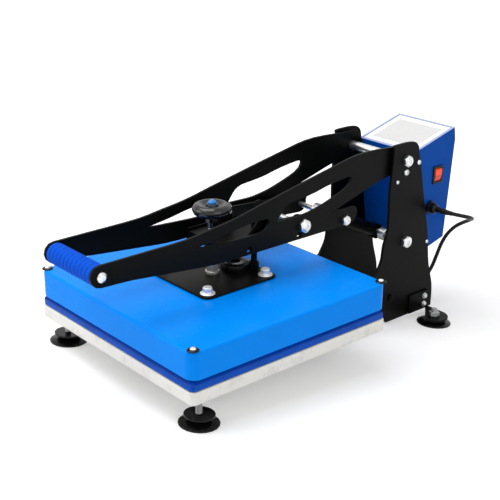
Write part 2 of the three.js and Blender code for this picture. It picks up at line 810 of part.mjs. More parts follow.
function armShape() {
  const shape = new THREE.Shape();
  shape.absarc(handleY, handleZ, handleEndRadius, -quarterTurn, quarterTurn, true);
  shape.splineThru(armTopShares.map(armPoint));
  shape.absarc(0, 0, armEndRadius, quarterTurn, -quarterTurn, true);
  shape.splineThru(armNotchShares.map(armPoint));
  const [tailTop, ...tailEnd] = armTailShares.map(armPoint);
  shape.lineTo(tailTop.x, tailTop.y);
  shape.splineThru(tailEnd);
  const [belly, ...lower] = [...armLowerShares].reverse().map(armPoint);
  shape.lineTo(belly.x, belly.y);
  shape.splineThru(lower);
  return shape;
}

function addArms() {
  const shape = armShape();
  const tools = [
    punch(windowShape(slimWindowShares)),
    punch(windowShape(leafWindowShares)),
    drill(0, 0, pivotRadius + gap),
    drill(crossY, crossZ, crossRadius + gap),
    drill(tailY, tailZ, tailRadius + gap),
    drill(handleY, handleZ, handleBoltRadius / 2 + gap),
    ...armHoleShares.map(armPoint).map((point) => drill(point.x, point.y, armHoleRadius)),
  ];
  for (const [name, fromX] of [['lever_arm_left', -armOuter], ['lever_arm_right', armInner]]) {
    const blank = sidePlate(shape, fromX, armThickness, armSteps);
    add(lever, name, cut(blank, ...tools), paint(black));
  }
}

function addLeverShafts() {
  const crossShaft = shaftWithHeads(crossRadius, armOuter, crossHeadAcross, crossHeadHeight);
  add(lever, 'cross_shaft', crossShaft, metal(steel)).position.set(0, crossY, crossZ);
  const tailShaft = shaftWithHeads(tailRadius, armOuter, tailHeadAcross, tailHeadHeight);
  add(lever, 'tail_shaft', tailShaft, metal(steel)).position.set(0, tailY, tailZ);
  const sleeveLength = 2 * (armInner - gap);
  const sleeve = cut(
    rodX(sleeveRadius, sleeveLength), rodX(pivotRadius + gap, sleeveLength + overrun),
  );
  add(lever, 'pivot_sleeve', sleeve, metal(steel));
  const spacerLength = armInner - bridgeOuter - 2 * gap;
  const spacer = cut(
    rodX(spacerRadius, spacerLength), rodX(crossRadius + gap, spacerLength + overrun),
  );
  const spacerX = (armInner + bridgeOuter) / 2;
  for (const [name, side] of [['cross_spacer_right', 1], ['cross_spacer_left', -1]]) {
    add(lever, name, spacer, metal(steel)).position.set(side * spacerX, crossY, crossZ);
  }
}

// Handle bar between the arms, with a domed bolt through each arm, and a ribbed foam grip
function addHandle() {
  const half = armInner - gap;
  const end = armOuter + gap;
  const neck = handleBoltRadius / 2;
  const bar = turnedX([
    [0, -end - handleBoltHeight],
    [neck, -end - handleBoltHeight],
    [handleBoltRadius, -end - handleBoltHeight / 2],
    [handleBoltRadius, -end],
    [neck, -end],
    [neck, -half],
    [handleBarRadius, -half],
    [handleBarRadius, half],
    [neck, half],
    [neck, end],
    [handleBoltRadius, end],
    [handleBoltRadius, end + handleBoltHeight / 2],
    [neck, end + handleBoltHeight],
    [0, end + handleBoltHeight],
  ]);
  add(lever, 'handle_bar', bar, metal(steel)).position.set(0, handleY, handleZ);
  const gripHalf = half - gripEndRoom;
  const ribPitch = 2 * gripHalf / gripRibs;
  const outside = [];
  for (let rib = 0; rib < gripRibs; rib += 1) {
    const start = rib * ribPitch - gripHalf;
    const slope = ribPitch * gripGrooveShare;
    outside.push([gripRadius - gripRibDepth, start], [gripRadius, start + slope]);
    outside.push([gripRadius, start + ribPitch - slope]);
  }
  outside.push([gripRadius - gripRibDepth, gripHalf]);
  const bore = (handleBarRadius + gap) / Math.cos(halfTurn / gripSides);
  const profile = [[bore, gripHalf], [bore, -gripHalf], ...outside, [bore, gripHalf]];
  add(lever, 'handle_grip', turnedX(profile, gripSides), paint(deepBlue, 0.8))
    .position.set(0, handleY, handleZ);
}

// Bridge: two side plates on the cross and tail shafts, a web and a threaded boss
const screwY = platenCentreY + screwSetBack - pivotY;
const noseY = screwY - bridgeNose;
const bridgeTopZ = bridgeTop - pivotZ;
const bridgeBottomZ = bridgeBottom - pivotZ;
const webRearY = screwY + webRear;

function addBridge() {
  const shape = new THREE.Shape();
  shape.moveTo(noseY, bridgeBottomZ);
  shape.lineTo(noseY, bridgeTopZ);
  shape.lineTo(screwY + bridgeRiseStart, bridgeTopZ);
  shape.lineTo(screwY + bridgeRiseEnd, bridgeTopZ + bridgeRise);
  const [from, to] = [bridgeCrossFrom, bridgeCrossTo].map(THREE.MathUtils.degToRad);
  shape.absarc(crossY, crossZ, bridgeEndRadius, from, to, true);
  shape.absarc(tailY, tailZ, bridgeEndRadius, to, -quarterTurn, true);
  shape.lineTo(crossY, bridgeBottomZ);
  const holes = [
    drill(crossY, crossZ, crossRadius + gap), drill(tailY, tailZ, tailRadius + gap),
  ];
  for (const [name, fromX] of [
    ['bridge_plate_left', -bridgeOuter], ['bridge_plate_right', bridgeInner],
  ]) {
    add(lever, name, cut(sidePlate(shape, fromX, bridgeThickness), ...holes), paint(black));
  }
  const webLength = webRearY - noseY;
  const bossZ = -(webThickness + bossHeight) / 2;
  const guideY = guideSetBack - (webLength / 2 - bridgeNose);
  const centreToScrew = bridgeNose - webLength / 2;
  const blank = join(
    box(2 * (bridgeInner - gap), webLength, webThickness),
    rodZ(bossRadius, bossHeight + gap).translate(0, centreToScrew, bossZ + gap / 2),
  );
  const bore = rodZ(screwRadius + gap, through(2 * bossHeight)).translate(0, centreToScrew, 0);
  const guideHoles = [-1, 1].map((side) => rodZ(guideRadius + guideClearance, through(webThickness))
    .translate(side * guideSpread / 2, guideY, 0));
  add(lever, 'bridge_web', cut(blank, bore, ...guideHoles), paint(black)).position.set(
    0, (noseY + webRearY) / 2, bridgeTopZ - webDrop - webThickness / 2,
  );
}

// Platen group: cover, heating platen, insulation, mounting plate, socket, pins and bolts
const platen = new THREE.Group();
platen.position.set(0, platenCentreY, platenBottom);
press.add(platen);

function addPlaten() {
  const cavityHeight = coverHeight - coverWall;
  const blank = slab(baseWidth, baseDepth, coverHeight + coverEdge, coverCorner, coverEdge)
    .translate(0, 0, -coverEdge);
  const below = box(2 * baseWidth, 2 * baseDepth, 2 * coverEdge).translate(0, 0, -coverEdge);
  const cavity = box(
    baseWidth - 2 * (platenMargin - gap), baseDepth - 2 * (platenMargin - gap), 2 * cavityHeight,
  );
  const hollow = slab(
    baseWidth - 2 * coverWall, baseDepth - 2 * coverWall, cavityHeight - platenThickness,
    coverCorner - coverWall, platenEdge,
  ).translate(0, 0, platenThickness);
  const cover = cut(blank, below, cavity, hollow);
  add(platen, 'platen_cover', cover, paint(blue, 0.35)).position.z = coverRise;
  const plate = slab(
    baseWidth - 2 * platenMargin, baseDepth - 2 * platenMargin, platenThickness,
    baseCorner / 2, platenEdge,
  );
  add(platen, 'heating_platen', plate, metal(aluminium));
  const blanket = box(
    baseWidth - 2 * platenMargin - baseCorner, baseDepth - 2 * platenMargin - baseCorner,
    coverRise + cavityHeight - platenThickness - 2 * gap,
  );
  add(platen, 'insulation_blanket', blanket, paint(castGrey, 0.9)).position.z =
    (coverRise + cavityHeight + platenThickness) / 2;
}

const plateZ = coverBottom + coverHeight - platenBottom + gap;
const plateTop = plateZ + plateThickness;

function addMountingPlate() {
  const bevelled = slab(plateSize, plateSize, plateThickness, plateCorner, plateEdge);
  add(platen, 'mounting_plate', bevelled, paint(black)).position.set(0, plateSetBack, plateZ);
  const hexagon = headX(plateBoltAcross, plateBoltHeight).rotateY(-quarterTurn);
  const flange = turnedZ([
    [0, 0], [flangeRadius, 0], [flangeRadius, flangeHeight / 2],
    [plateBoltAcross / 2, flangeHeight], [0, flangeHeight],
  ]);
  const bolt = join(flange, hexagon.translate(0, 0, flangeHeight / 2));
  const spots = [
    ['front_left', -1, -1], ['front_right', 1, -1], ['rear_left', -1, 1], ['rear_right', 1, 1],
  ];
  for (const [name, acrossSide, backSide] of spots) {
    add(platen, `plate_bolt_${name}`, bolt, metal(steel)).position.set(
      acrossSide * plateBoltPitch / 2, plateSetBack + backSide * plateBoltPitch / 2,
      plateTop + gap,
    );
  }
}

// The screw's end sits in a socket under a nut that keeps it there
function addSocketAndPins() {
  const floor = screwSeat;
  const socketTop = socketHeight + thrustNutHeight;
  const blank = join(
    rodZ(socketRadius, socketHeight).translate(0, 0, socketHeight / 2),
    rodZ(hexRadius(thrustNutAcross), thrustNutHeight + gap, hexSides)
      .translate(0, 0, socketTop - (thrustNutHeight + gap) / 2),
  );
  const bore = rodZ(screwRadius + gap, 2 * socketTop).translate(0, 0, floor + socketTop);
  add(platen, 'thrust_socket', cut(blank, bore), metal(zinc)).position.set(
    0, screwSetBack, plateTop + gap,
  );
  const pinHeight = guideTop - platenBottom - plateTop - gap;
  const pin = join(
    rodZ(guideRadius, pinHeight).translate(0, 0, pinHeight / 2),
    rodZ(hexRadius(guideCollarAcross), guideCollarHeight, hexSides)
      .translate(0, 0, guideCollarHeight / 2),
  );
  for (const [name, side] of [['guide_pin_right', 1], ['guide_pin_left', -1]]) {
    add(platen, name, pin, paint(black)).position.set(
      side * guideSpread / 2, screwSetBack + guideSetBack, plateTop + gap,
    );
  }
}

// Knob: a fluted hub under a thick disc with a dished top, on the pressure screw.
// The disc's section, from its middle below to its middle on top: shares of its radius and height.
const knobProfileShares = [
  [0, 0], [0.62, 0], [0.86, 0.1], [0.97, 0.28], [1, 0.5], [0.97, 0.72], [0.88, 0.9], [0.74, 1],
  [0.6, 0.97], [0.45, 0.8], [0.33, 0.78], [0.3, 1], [0, 1],
];

function fluted(radius, height) {
  const outline = new THREE.Shape();
  for (let step = 0; step < 2 * hubFlutes; step += 1) {
    const out = radius - (step % 2) * hubFlute;
    const angle = step * halfTurn / hubFlutes;
    const point = [out * Math.cos(angle), out * Math.sin(angle)];
    if (step === 0) outline.moveTo(...point);
    else outline.lineTo(...point);
  }
  return new THREE.ExtrudeGeometry(outline, { depth: height, bevelEnabled: false });
}

function addKnob() {
  const knob = new THREE.Group();
  knob.position.set(0, screwSetBack, -platenBottom);
  platen.add(knob);
  const screwBottom = platenBottom + plateTop + gap + screwSeat + gap;
  const screwLength = knobBottom - screwBottom;
  add(knob, 'pressure_screw', rodZ(screwRadius, screwLength), metal(zinc)).position.z =
    screwBottom + screwLength / 2;
  const hub = fluted(hubRadius, knobBottom - hubBottom + knobOverlap).translate(0, 0, hubBottom);
  const flare = fluted(hubFlareRadius, hubFlareHeight + knobOverlap)
    .translate(0, 0, knobBottom - hubFlareHeight);
  const discProfile = knobProfileShares.map(([out, up]) => [
    out * knobRadius, knobBottom + up * (knobTop - knobBottom),
  ]);
  const screwBore = rodZ(screwRadius + gap, 2 * (knobBottom + gap - hubBottom))
    .translate(0, 0, hubBottom);
  const capBore = rodZ(knobCapRadius + gap, 2 * (knobCapSink + gap)).translate(0, 0, knobTop);
  add(knob, 'pressure_knob', cut(join(hub, flare, turnedZ(discProfile)), screwBore, capBore),
    paint(black, 0.5));
  const capBottom = knobTop - knobCapSink;
  const cap = turnedZ([
    [0, capBottom], [knobCapRadius, capBottom], [knobCapRadius, knobTop + knobCapHeight / 2],
    [knobCapRadius / 2, knobTop + knobCapHeight], [0, knobTop + knobCapHeight],
  ]);
  add(knob, 'knob_cap', cap, paint(blue, 0.3));
}

// Gas strut: drawn along its own axis from the fixed shaft to the tail shaft
function addStrut() {
  const strut = new THREE.Group();
  strut.position.set(0, anchorY, anchorZ);
  const reach = new THREE.Vector2(pivotY + tailY - anchorY, pivotZ + tailZ - anchorZ);
  strut.rotation.x = reach.angle() - quarterTurn;
  press.add(strut);
  const length = reach.length();
  const bodyEnd = length * strutBodyShare;
  const rodStart = length * strutRodShare;
  const lowerEye = rodX(strutEyeRadius, strutEyeWidth);
  const tube = rodZ(strutBodyRadius, bodyEnd).translate(0, 0, bodyEnd / 2);
  const bore = rodZ(strutRodRadius + gap, length).translate(0, 0, rodStart - gap + length / 2);
  const cylinder = cut(
    join(lowerEye, tube), rodX(anchorRadius + gap, through(strutEyeWidth)), bore,
  );
  add(strut, 'strut_cylinder', cylinder, paint(black, 0.3));
  const rodLength = length - rodStart;
  const upperEye = rodX(tailEyeRadius, tailEyeWidth).translate(0, 0, length);
  const rod = rodZ(strutRodRadius, rodLength).translate(0, 0, rodStart + rodLength / 2);
  const eyeHole = rodX(tailRadius + tailEyeRoom, through(tailEyeWidth)).translate(0, 0, length);
  add(strut, 'strut_rod', cut(join(rod, upperEye), eyeHole), metal(steel));
}

// Mains cord: a tube along its route, a coil of piled loops and a plug
function addCord(name, points, steps) {
  const route = new THREE.CatmullRomCurve3(
    points.map((point) => new THREE.Vector3(...point)), false, 'centripetal',
  );
  const section = new THREE.Shape();
  for (let side = 0; side < cordSides; side += 1) {
    const angle = side * 2 * halfTurn / cordSides;
    const point = [cordRadius * Math.cos(angle), cordRadius * Math.sin(angle)];
    if (side === 0) section.moveTo(...point);
    else section.lineTo(...point);
  }
  const tube = new THREE.ExtrudeGeometry(section, {
    steps, bevelEnabled: false, extrudePath: route,
  });
  add(group, name, tube, paint(rubberBlack, 0.5));
}

// The coil's centre line after a number of turns: each layer runs in or out beside itself, and
// the cord climbs to the next one where they meet
function coilPoint(turns) {
  const along = turns / coilTurnsPerLayer;
  const layer = Math.round(along);
  const inward = Math.abs(along - 2 * Math.round(along / 2));
  const radius = coilRadius - coilPitch * coilTurnsPerLayer * inward;
  const angle = halfTurn + turns * 2 * halfTurn;
  const between = layer > 0 && layer < coilLayers;
  const climb = (turns - layer * coilTurnsPerLayer) / coilClimbTurns + 1 / 2;
  const level = between ? layer - 1 + THREE.MathUtils.smoothstep(climb, 0, 1)
    : Math.max(layer - 1, 0);
  return new THREE.Vector3(
    coilX + radius * Math.cos(angle), coilY + radius * Math.sin(angle),
    cordLevel + level * coilPitch,
  );
}

function addCoil() {
  const steps = coilTurns * coilStepsPerTurn;
  const centres = [];
  for (let step = 0; step <= steps; step += 1) centres.push(coilPoint(step / coilStepsPerTurn));
  const positions = [];
  const up = new THREE.Vector3(0, 0, 1);
  centres.forEach((centre, step) => {
    const angle = halfTurn + step * 2 * halfTurn / coilStepsPerTurn;
    const outward = new THREE.Vector3(Math.cos(angle), Math.sin(angle), 0);
    for (let side = 0; side < coilSides; side += 1) {
      const turn = (side + 0.5) * 2 * halfTurn / coilSides;
      const point = centre.clone()
        .addScaledVector(outward, cordRadius * Math.cos(turn))
        .addScaledVector(up, cordRadius * Math.sin(turn));
      positions.push(point.x, point.y, point.z);
    }
  });
  const index = [];
  const corner = (step, side) => step * coilSides + side % coilSides;
  for (let step = 0; step < steps; step += 1) {
    for (let side = 0; side < coilSides; side += 1) {
      const [a, b] = [corner(step, side), corner(step, side + 1)];
      const [c, d] = [corner(step + 1, side + 1), corner(step + 1, side)];
      index.push(a, c, b, a, d, c);
    }
  }
  for (let side = 1; side < coilSides - 1; side += 1) {
    index.push(corner(0, 0), corner(0, side), corner(0, side + 1));
    index.push(corner(steps, 0), corner(steps, side + 1), corner(steps, side));
  }
  const geometry = new THREE.BufferGeometry();
  geometry.setAttribute('position', new THREE.Float32BufferAttribute(positions, 3));
  geometry.setIndex(index);
  add(group, 'cord_coil', geometry, paint(rubberBlack, 0.5));
  printLeastGap(centres);
}

// The least gap between two stretches of the coil that are over half a turn apart
function printLeastGap(centres) {
  let least = Infinity;
  centres.forEach((centre, step) => {
    for (let other = step + coilStepsPerTurn / 2; other < centres.length; other += 1) {
      least = Math.min(least, centre.distanceTo(centres[other]));
    }
  });
  console.log(`least gap in the coil: ${(least - 2 * cordRadius).toFixed(2)} mm`);
}

function addPlug() {
  const outline = roundedOutline(plugWidth, plugHeight, plugCorner);
  const body = new THREE.ExtrudeGeometry(outline, {
    depth: plugLength, bevelEnabled: false, curveSegments: curveSteps,
  }).translate(0, 0, plugTailLength);
  const tail = turnedZ([
    [0, 0], [cordRadius + gap, 0], [plugTailRadius, plugTailLength + gap],
    [0, plugTailLength + gap],
  ], plugTailSides);
  const pins = [-1, 1].map((side) => rodZ(pinRadius, pinLength + gap, plugTailSides)
    .translate(side * pinPitch / 2, 0, plugTailLength + plugLength + (pinLength - gap) / 2));
  const plug = join(body, tail, ...pins).rotateX(quarterTurn);
  const [x, y, z] = leadRoute[leadRoute.length - 1];
  add(group, 'plug', plug, paint(rubberBlack, 0.5)).position.set(x, y - gap, z);
}

addBase();
addUprights();
addFixedShafts();
addFootBrackets();
addFeet();
addControlBox();
addSwitch();
addGland();
addArms();
addLeverShafts();
addHandle();
addBridge();
addPlaten();
addMountingPlate();
addSocketAndPins();
addKnob();
addStrut();
addCord('power_cord', cordRoute, cordSteps);
addCord('plug_lead', leadRoute, leadSteps);
addCoil();
addPlug();

// The origin is on the floor, under the middle of the press
const bounds = new THREE.Box3().setFromObject(stand, true);
stand.position.y = -(bounds.min.y + bounds.max.y) / 2;

export default group;
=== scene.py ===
"""Dresses the flat heat press: finishes for every part, its soft pieces and its small fasteners.

Metres, +Z up, +Y from the handle towards the control box, +X to the user's right.
"""

import json
import math

import bpy
from mathutils import Matrix, Vector


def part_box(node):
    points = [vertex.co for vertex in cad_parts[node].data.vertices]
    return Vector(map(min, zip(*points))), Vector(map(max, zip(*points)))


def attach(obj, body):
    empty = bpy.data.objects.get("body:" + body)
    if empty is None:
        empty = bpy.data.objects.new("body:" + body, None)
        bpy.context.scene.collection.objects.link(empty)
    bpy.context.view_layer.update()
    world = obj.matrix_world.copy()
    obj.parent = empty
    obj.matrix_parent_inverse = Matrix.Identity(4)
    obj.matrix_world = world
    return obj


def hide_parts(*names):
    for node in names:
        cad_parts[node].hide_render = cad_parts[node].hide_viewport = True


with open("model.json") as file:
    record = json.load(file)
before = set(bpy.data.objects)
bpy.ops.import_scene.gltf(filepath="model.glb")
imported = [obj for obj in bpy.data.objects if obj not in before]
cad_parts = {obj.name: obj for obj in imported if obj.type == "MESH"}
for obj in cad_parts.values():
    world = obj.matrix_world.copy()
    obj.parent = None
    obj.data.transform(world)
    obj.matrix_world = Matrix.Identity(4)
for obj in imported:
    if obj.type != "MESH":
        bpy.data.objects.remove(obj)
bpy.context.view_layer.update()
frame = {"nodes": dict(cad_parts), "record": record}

bl_info = {
    "name": "Flat heat press",
    "version": (1, 0, 0),
    "blender": (4, 5, 0),
    "location": "View3D > Sidebar > Heat press",
    "description": "Dresses a flat heat press with its finishes, soft pieces and fasteners",
    "category": "Object",
}

MM = 0.001

# The press leans on its shorter front feet; these place a point of the press over the floor
LEAN = math.radians(3.88)
PRESS_SHIFT = (0.0, -302.056 * MM, -2.104 * MM)
PRESS = Matrix.Translation(PRESS_SHIFT) @ Matrix.Rotation(LEAN, 4, "X")
PRESS_BACK = PRESS.inverted()
SIDES = (("right", 1), ("left", -1))


def at(x, y, z):
    """The move from the origin to a point of the press, given in its own millimetres."""
    return PRESS @ Matrix.Translation((x * MM, y * MM, z * MM))


def outwards(turn):
    """The turn that points a piece's axis to the press's right, for 1, or its left, for -1."""
    return Matrix.Rotation(turn * math.radians(90), 4, "Y")


def press_box(node):
    """The least and greatest corner of a CAD node along the press's axes, in millimetres."""
    part = frame["nodes"][node]
    turn = PRESS_BACK @ part.matrix_world
    corners = [(turn @ v.co) / MM for v in part.data.vertices]
    return [[pick(c[i] for c in corners) for i in range(3)] for pick in (min, max)]


def between(low, high):
    """The middle of a box, by its two corners."""
    return [(a + b) / 2 for a, b in zip(low, high)]


PAD_BOX = press_box("silicone_pad")
GRIP_BOX = press_box("handle_grip")
PLATE_TOP = press_box("mounting_plate")[1][2]
COVER_TOP = press_box("platen_cover")[1][2]
UPRIGHT_SIDE = press_box("upright_right")[1][0]
ROCKER_MIDDLE = sum(corner[2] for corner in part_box("power_rocker")) / 2  # in metres

# Sizes and places, in the press's own millimetres

SAME_POINT = 0.01  # points closer than this are merged
SEAT = 0.1  # between a piece and the face that it is laid on
PAD_CORNER = 9
SCREW = (0, 198, 140)  # on the pressure screw's axis
SCREW_PITCH = 2
STUD_PITCH = 1.5
BAR_RADIUS = 10.3  # of the bore that takes the handle bar
# A rib of the grip from groove to groove: share of its length, and of the groove's depth
RIB_SHARES = [(0.08, 0.55), (0.2, 0.18), (0.35, 0.03), (0.5, 0), (0.65, 0.03), (0.8, 0.18)]
RIB_SHARES += [(0.92, 0.55), (1.0, 1.0)]
# The control box's sloping top, from its front edge to its rear edge: (y, z) of each
BOX_TOP = ((598, 275.3), (704, 304))
CORNERS = ("front_left", "front_right", "rear_left", "rear_right")

# Outlines of the turned pieces, as (radius, height) from the axis round to the axis. The radii of
# the washer and the shaft's face, and both numbers of the upright's bolt, are shares of a radius
CUP_WASHER = [(0, 0), (1, 0), (1, 0.6), (0.86, 1.8), (0.66, 2.3), (0.56, 1.9), (0.5, 1.2)]
CUP_WASHER += [(0, 1.2)]
COVER_SCREW = [(0, 0), (4.4, 0), (4.6, 0.6), (4.3, 1.9), (3.5, 2.9), (2.4, 3.4), (0, 3.6)]
UPRIGHT_BOLT = [(0, 0), (1, 0), (1, 0.16), (0.9, 0.42), (0.62, 0.66), (0.3, 0.76), (0, 0.78)]
BRACKET_BOLT = [(0, 0), (5.4, 0), (5.4, 0.8), (4.4, 1.1), (4.2, 3.4), (3.6, 4), (0, 4.2)]
SHAFT_FACE = [(0, -0.4), (1, -0.4), (1, 0.3), (0.94, 0.9), (0.78, 1.4), (0.5, 1.7), (0, 1.8)]
BOX_SCREW = [(0, -0.6), (3.4, -0.6), (3.4, 0.5), (2.9, 1.4), (1.7, 1.9), (0, 2)]
PLATE_CAP = [(0, 0), (24, 0), (24, 5.5), (23.4, 7.4), (21.6, 8.6), (19, 9), (9.5, 9), (8.3, 8.4)]
PLATE_CAP += [(8, 7), (8, 3), (0, 3)]
# Width and depth of their sockets; a share where the outline has shares
COVER_SOCKET, BRACKET_SOCKET, BOX_SOCKET = (3.2, 1.6), (3.6, 1.6), (2.4, 1.0)
UPRIGHT_SOCKET, SHAFT_SOCKET = (0.8, 0.45), (0.78, 1.3)
# Facets round the turned pieces
HEAD_STEPS, GRIP_STEPS, TUBE_STEPS, ROD_STEPS, CAP_STEPS = 40, 56, 48, 32, 64

COVER_SCREW_X = 191
COVER_SCREW_ROWS = (("front", 9.2), ("rear", 386.4))
COVER_SCREW_RISE = 1.3  # of the screws' heads over the cover, in their washers
PLATE_CAP_Y = 246
# Name, share of the head's size, and (y, z) of each of one kind
SMALL_BOLTS = (
    ("upright_bolt", 1.0, [(571, 246)]),
    ("upright_screw", 0.62, [(550, 232), (640, 102)]),
    ("rear_edge_screw", 0.8, [(603, 258)]),
)
SMALL_BOLT_SEAT = 0.05
# Bolts through the rear foot brackets' flanges, and how far these stand off the uprights
BRACKET_BOLTS = [(640, -4), (639, -20)]
BRACKET_DEPTH = 4.3
# Shafts whose heads get a domed face with a socket: node, body, share of the head's width
SHAFT_HEADS = (
    ("pivot_shaft", "frame", 0.42),
    ("strut_anchor_shaft", "frame", 0.42),
    ("cross_shaft", "lever", 0.4),
    ("tail_shaft", "lever", 0.42),
)
# Screws of the control box: its rear face from top to bottom, each row's share of the way down,
# and their distance from the middle
BOX_REAR = ((707, 292), (697, 104))
BOX_SCREW_ROWS = (("top", 0.04), ("bottom", 0.96))
BOX_SCREW_X = 56

# The gas strut, in millimetres along it from the fixed shaft: its tube runs from foot to mouth, and
# the piston on the rod's end stays between the tube's floor and its neck over the whole stroke
STRUT_FOOT, STRUT_FLOOR, STRUT_NECK, STRUT_MOUTH = 9.5, 16, 117, 125
STRUT_RADIUS, STRUT_BORE, ROD_RADIUS = 12, 9.6, 5
STRUT_TAPER = (3.5, 4)  # how far the foot is drawn in, and over what length
STRUT_GROOVE = (0.9, 2)  # depth and length of the groove rolled round the neck
STRUT_SLOPE = 1  # length of the slopes at the neck
STRUT_LIP = (1, 1.4)  # how far the mouth is drawn in, and over what length
STRUT_ROOM = 0.4  # round the rod and the piston
PISTON = (18, 25)
PISTON_EDGE = (0.6, 0.8)
ROD_TIP = 152.5
TAIL_SHAFT_AT = 163.25
# Radius, bore radius and width of the strut's eyes, and the chamfer on both
LOWER_EYE = (14, 6.3, 14)
TAIL_EYE = (12.5, 8.2, 12)
EYE_EDGE = 0.7

# The bridge's gussets: their front, rear, bottom and top, how far the front edge slopes, how much
# thinner they are than their plate, the bevel of their edges, and what counts as near a face
GUSSET = (226, 276, 196, 223)
GUSSET_SLOPE = 26
GUSSET_MARGIN = 0.3
GUSSET_EDGE = 0.4
NEAR_FACE = 1

# Edges that are softer or sharper than a sheet part's, as shares of its softness
EDGE_SHARES = {
    "control_box": 2.4,
    "platen_cover": 1.6,
    "base_plate": 2.0,
    "upright_left": 1.4,
    "upright_right": 1.4,
    "display_window": 0.6,
    "plug": 1.6,
}
# Degrees between two faces up to which they are one, and from which an edge is rounded or split
FLAT_ANGLE = 0.5
ROUND_ANGLE = 32
SPLIT_ANGLE = 38

# The mains cord's way, in the frame's metres: to the coil, and from its top to the plug
CORD_LEVEL = 0.0041
CORD_SPACING = 0.004
COIL_MIDDLE = (-0.135, 0.219)
COIL_RADIUS = 0.042
COIL_PITCH = 0.0077
COIL_LAYERS = 4
COIL_STEPS = 36
COIL_CLIMB = 0.5
CORD_ROUTE = [
    (0.0958, 0.3323, 0.2063), (0.104, 0.3323, 0.2063), (0.115, 0.3355, 0.206),
    (0.125, 0.3435, 0.2045), (0.131, 0.356, 0.2015), (0.131, 0.371, 0.197),
    (0.124, 0.386, 0.191), (0.11, 0.398, 0.183), (0.091, 0.406, 0.172), (0.071, 0.411, 0.158),
    (0.054, 0.413, 0.139), (0.042, 0.414, 0.116), (0.034, 0.414, 0.09), (0.026, 0.413, 0.063),
    (0.013, 0.411, 0.037), (-0.009, 0.408, 0.017), (-0.038, 0.404, 0.0065),
    (-0.072, 0.397, 0.0041), (-0.108, 0.386, 0.0041), (-0.142, 0.371, 0.0041),
    (-0.165, 0.348, 0.0041), (-0.176, 0.318, 0.0041), (-0.178, 0.286, 0.0041),
    (-0.177, 0.256, 0.0041), (-0.177, 0.232, 0.0041), (-0.177, 0.2194, 0.0041),
]
LEAD_ROUTE = [
    (-0.177, 0.2186, 0.0272), (-0.177, 0.208, 0.0272), (-0.177, 0.192, 0.0235),
    (-0.177, 0.176, 0.017), (-0.177, 0.162, 0.012), (-0.177, 0.15, 0.0106),
    (-0.177, 0.142, 0.0106),
]
# The boot on the cord's start, in metres, and its widths as shares of the cord's
RELIEF_LENGTH = 0.022
RELIEF_SPACING = 0.0006
RELIEF_POINTS = 8  # of the cord's line, which reach past the boot
RELIEF_START_SHARE = 1.66
RELIEF_TAPER_SHARE = 0.54
RELIEF_GROOVE_SHARE = 0.12
RELIEF_GROOVED = (0.12, 0.9)  # the stretch with grooves, as shares of its length
RELIEF_BANDS = 14  # ribs and grooves along the whole boot

# Grain of the finishes, in metres: the size of each pattern's patches, and the height of its relief
COAT_CLOUD, COAT_PEEL, COAT_RELIEF = 0.06, 0.0016, 0.00002
CAST_PATCH, CAST_STAIN, CAST_PIT, CAST_LUMP, CAST_RELIEF = 0.028, 0.009, 0.0032, 0.0045, 0.00022
KNOB_HAZE, KNOB_RELIEF = 0.008, 0.00008
METAL_HAZE, METAL_GRAIN, METAL_RELIEF = 0.012, 0.0006, 0.000006
MOULD_CLOUD, MOULD_GRAIN, MOULD_RELIEF = 0.03, 0.0007, 0.00001
RUBBER_GRAIN, RUBBER_RELIEF = 0.0012, 0.000008
CORD_GRAIN = 0.0009
FOAM_CLOUD, FOAM_CELL, FOAM_RELIEF = 0.02, 0.0011, 0.00012
THREAD_HAZE = 0.01
LENS_HAZE, LENS_RELIEF = 0.006, 0.00003
LENS_BLEND = 0.001  # from the rocker's middle to where each half has its full colour
RIM_HIGHLIGHT_BAND = (-0.0014, -0.0006)  # over the panel's plane, from plain paint to the painted highlight
# Colours of the painted highlight on the box's rim, and of the painted glow in the rocker's lower
# half
RIM_HIGHLIGHT_COLOUR = (0.42, 0.47, 0.72)
LIT_RED = (0.25, 0.008, 0.0)

# The stage, in metres: its floor, which pales between two distances, its daylight and its lamps
FLOOR_SIZE = 12
FLOOR_FADE = (0.45, 1.6)
FLOOR_GLOW = ((0.3, 0.3, 0.3), (0.75, 0.75, 0.75))
DAYLIGHT = 0.55  # its strength beside the white that the camera sees
# Name, place, width and power in watts
LAMPS = (
    ("key_lamp", (-0.5, -0.7, 2.4), 1.9, 42),
    ("right_lamp", (2.0, -0.3, 1.3), 1.4, 8),
    ("left_lamp", (-1.2, -1.9, 1.0), 1.2, 10),
)
LAMP_AIM = (0, 0, 0.1)
# The camera's place in metres, turn in degrees, lens and sensor in millimetres, and shift
CAMERA_PLACE = (1.2220, -1.1434, 0.7271)
CAMERA_TURN = (71.235, -3.302, 49.516)
CAMERA_LENS = 76.44
CAMERA_SENSOR = 36
CAMERA_SHIFT = (0.0209, 0.0006)


# What a user would change


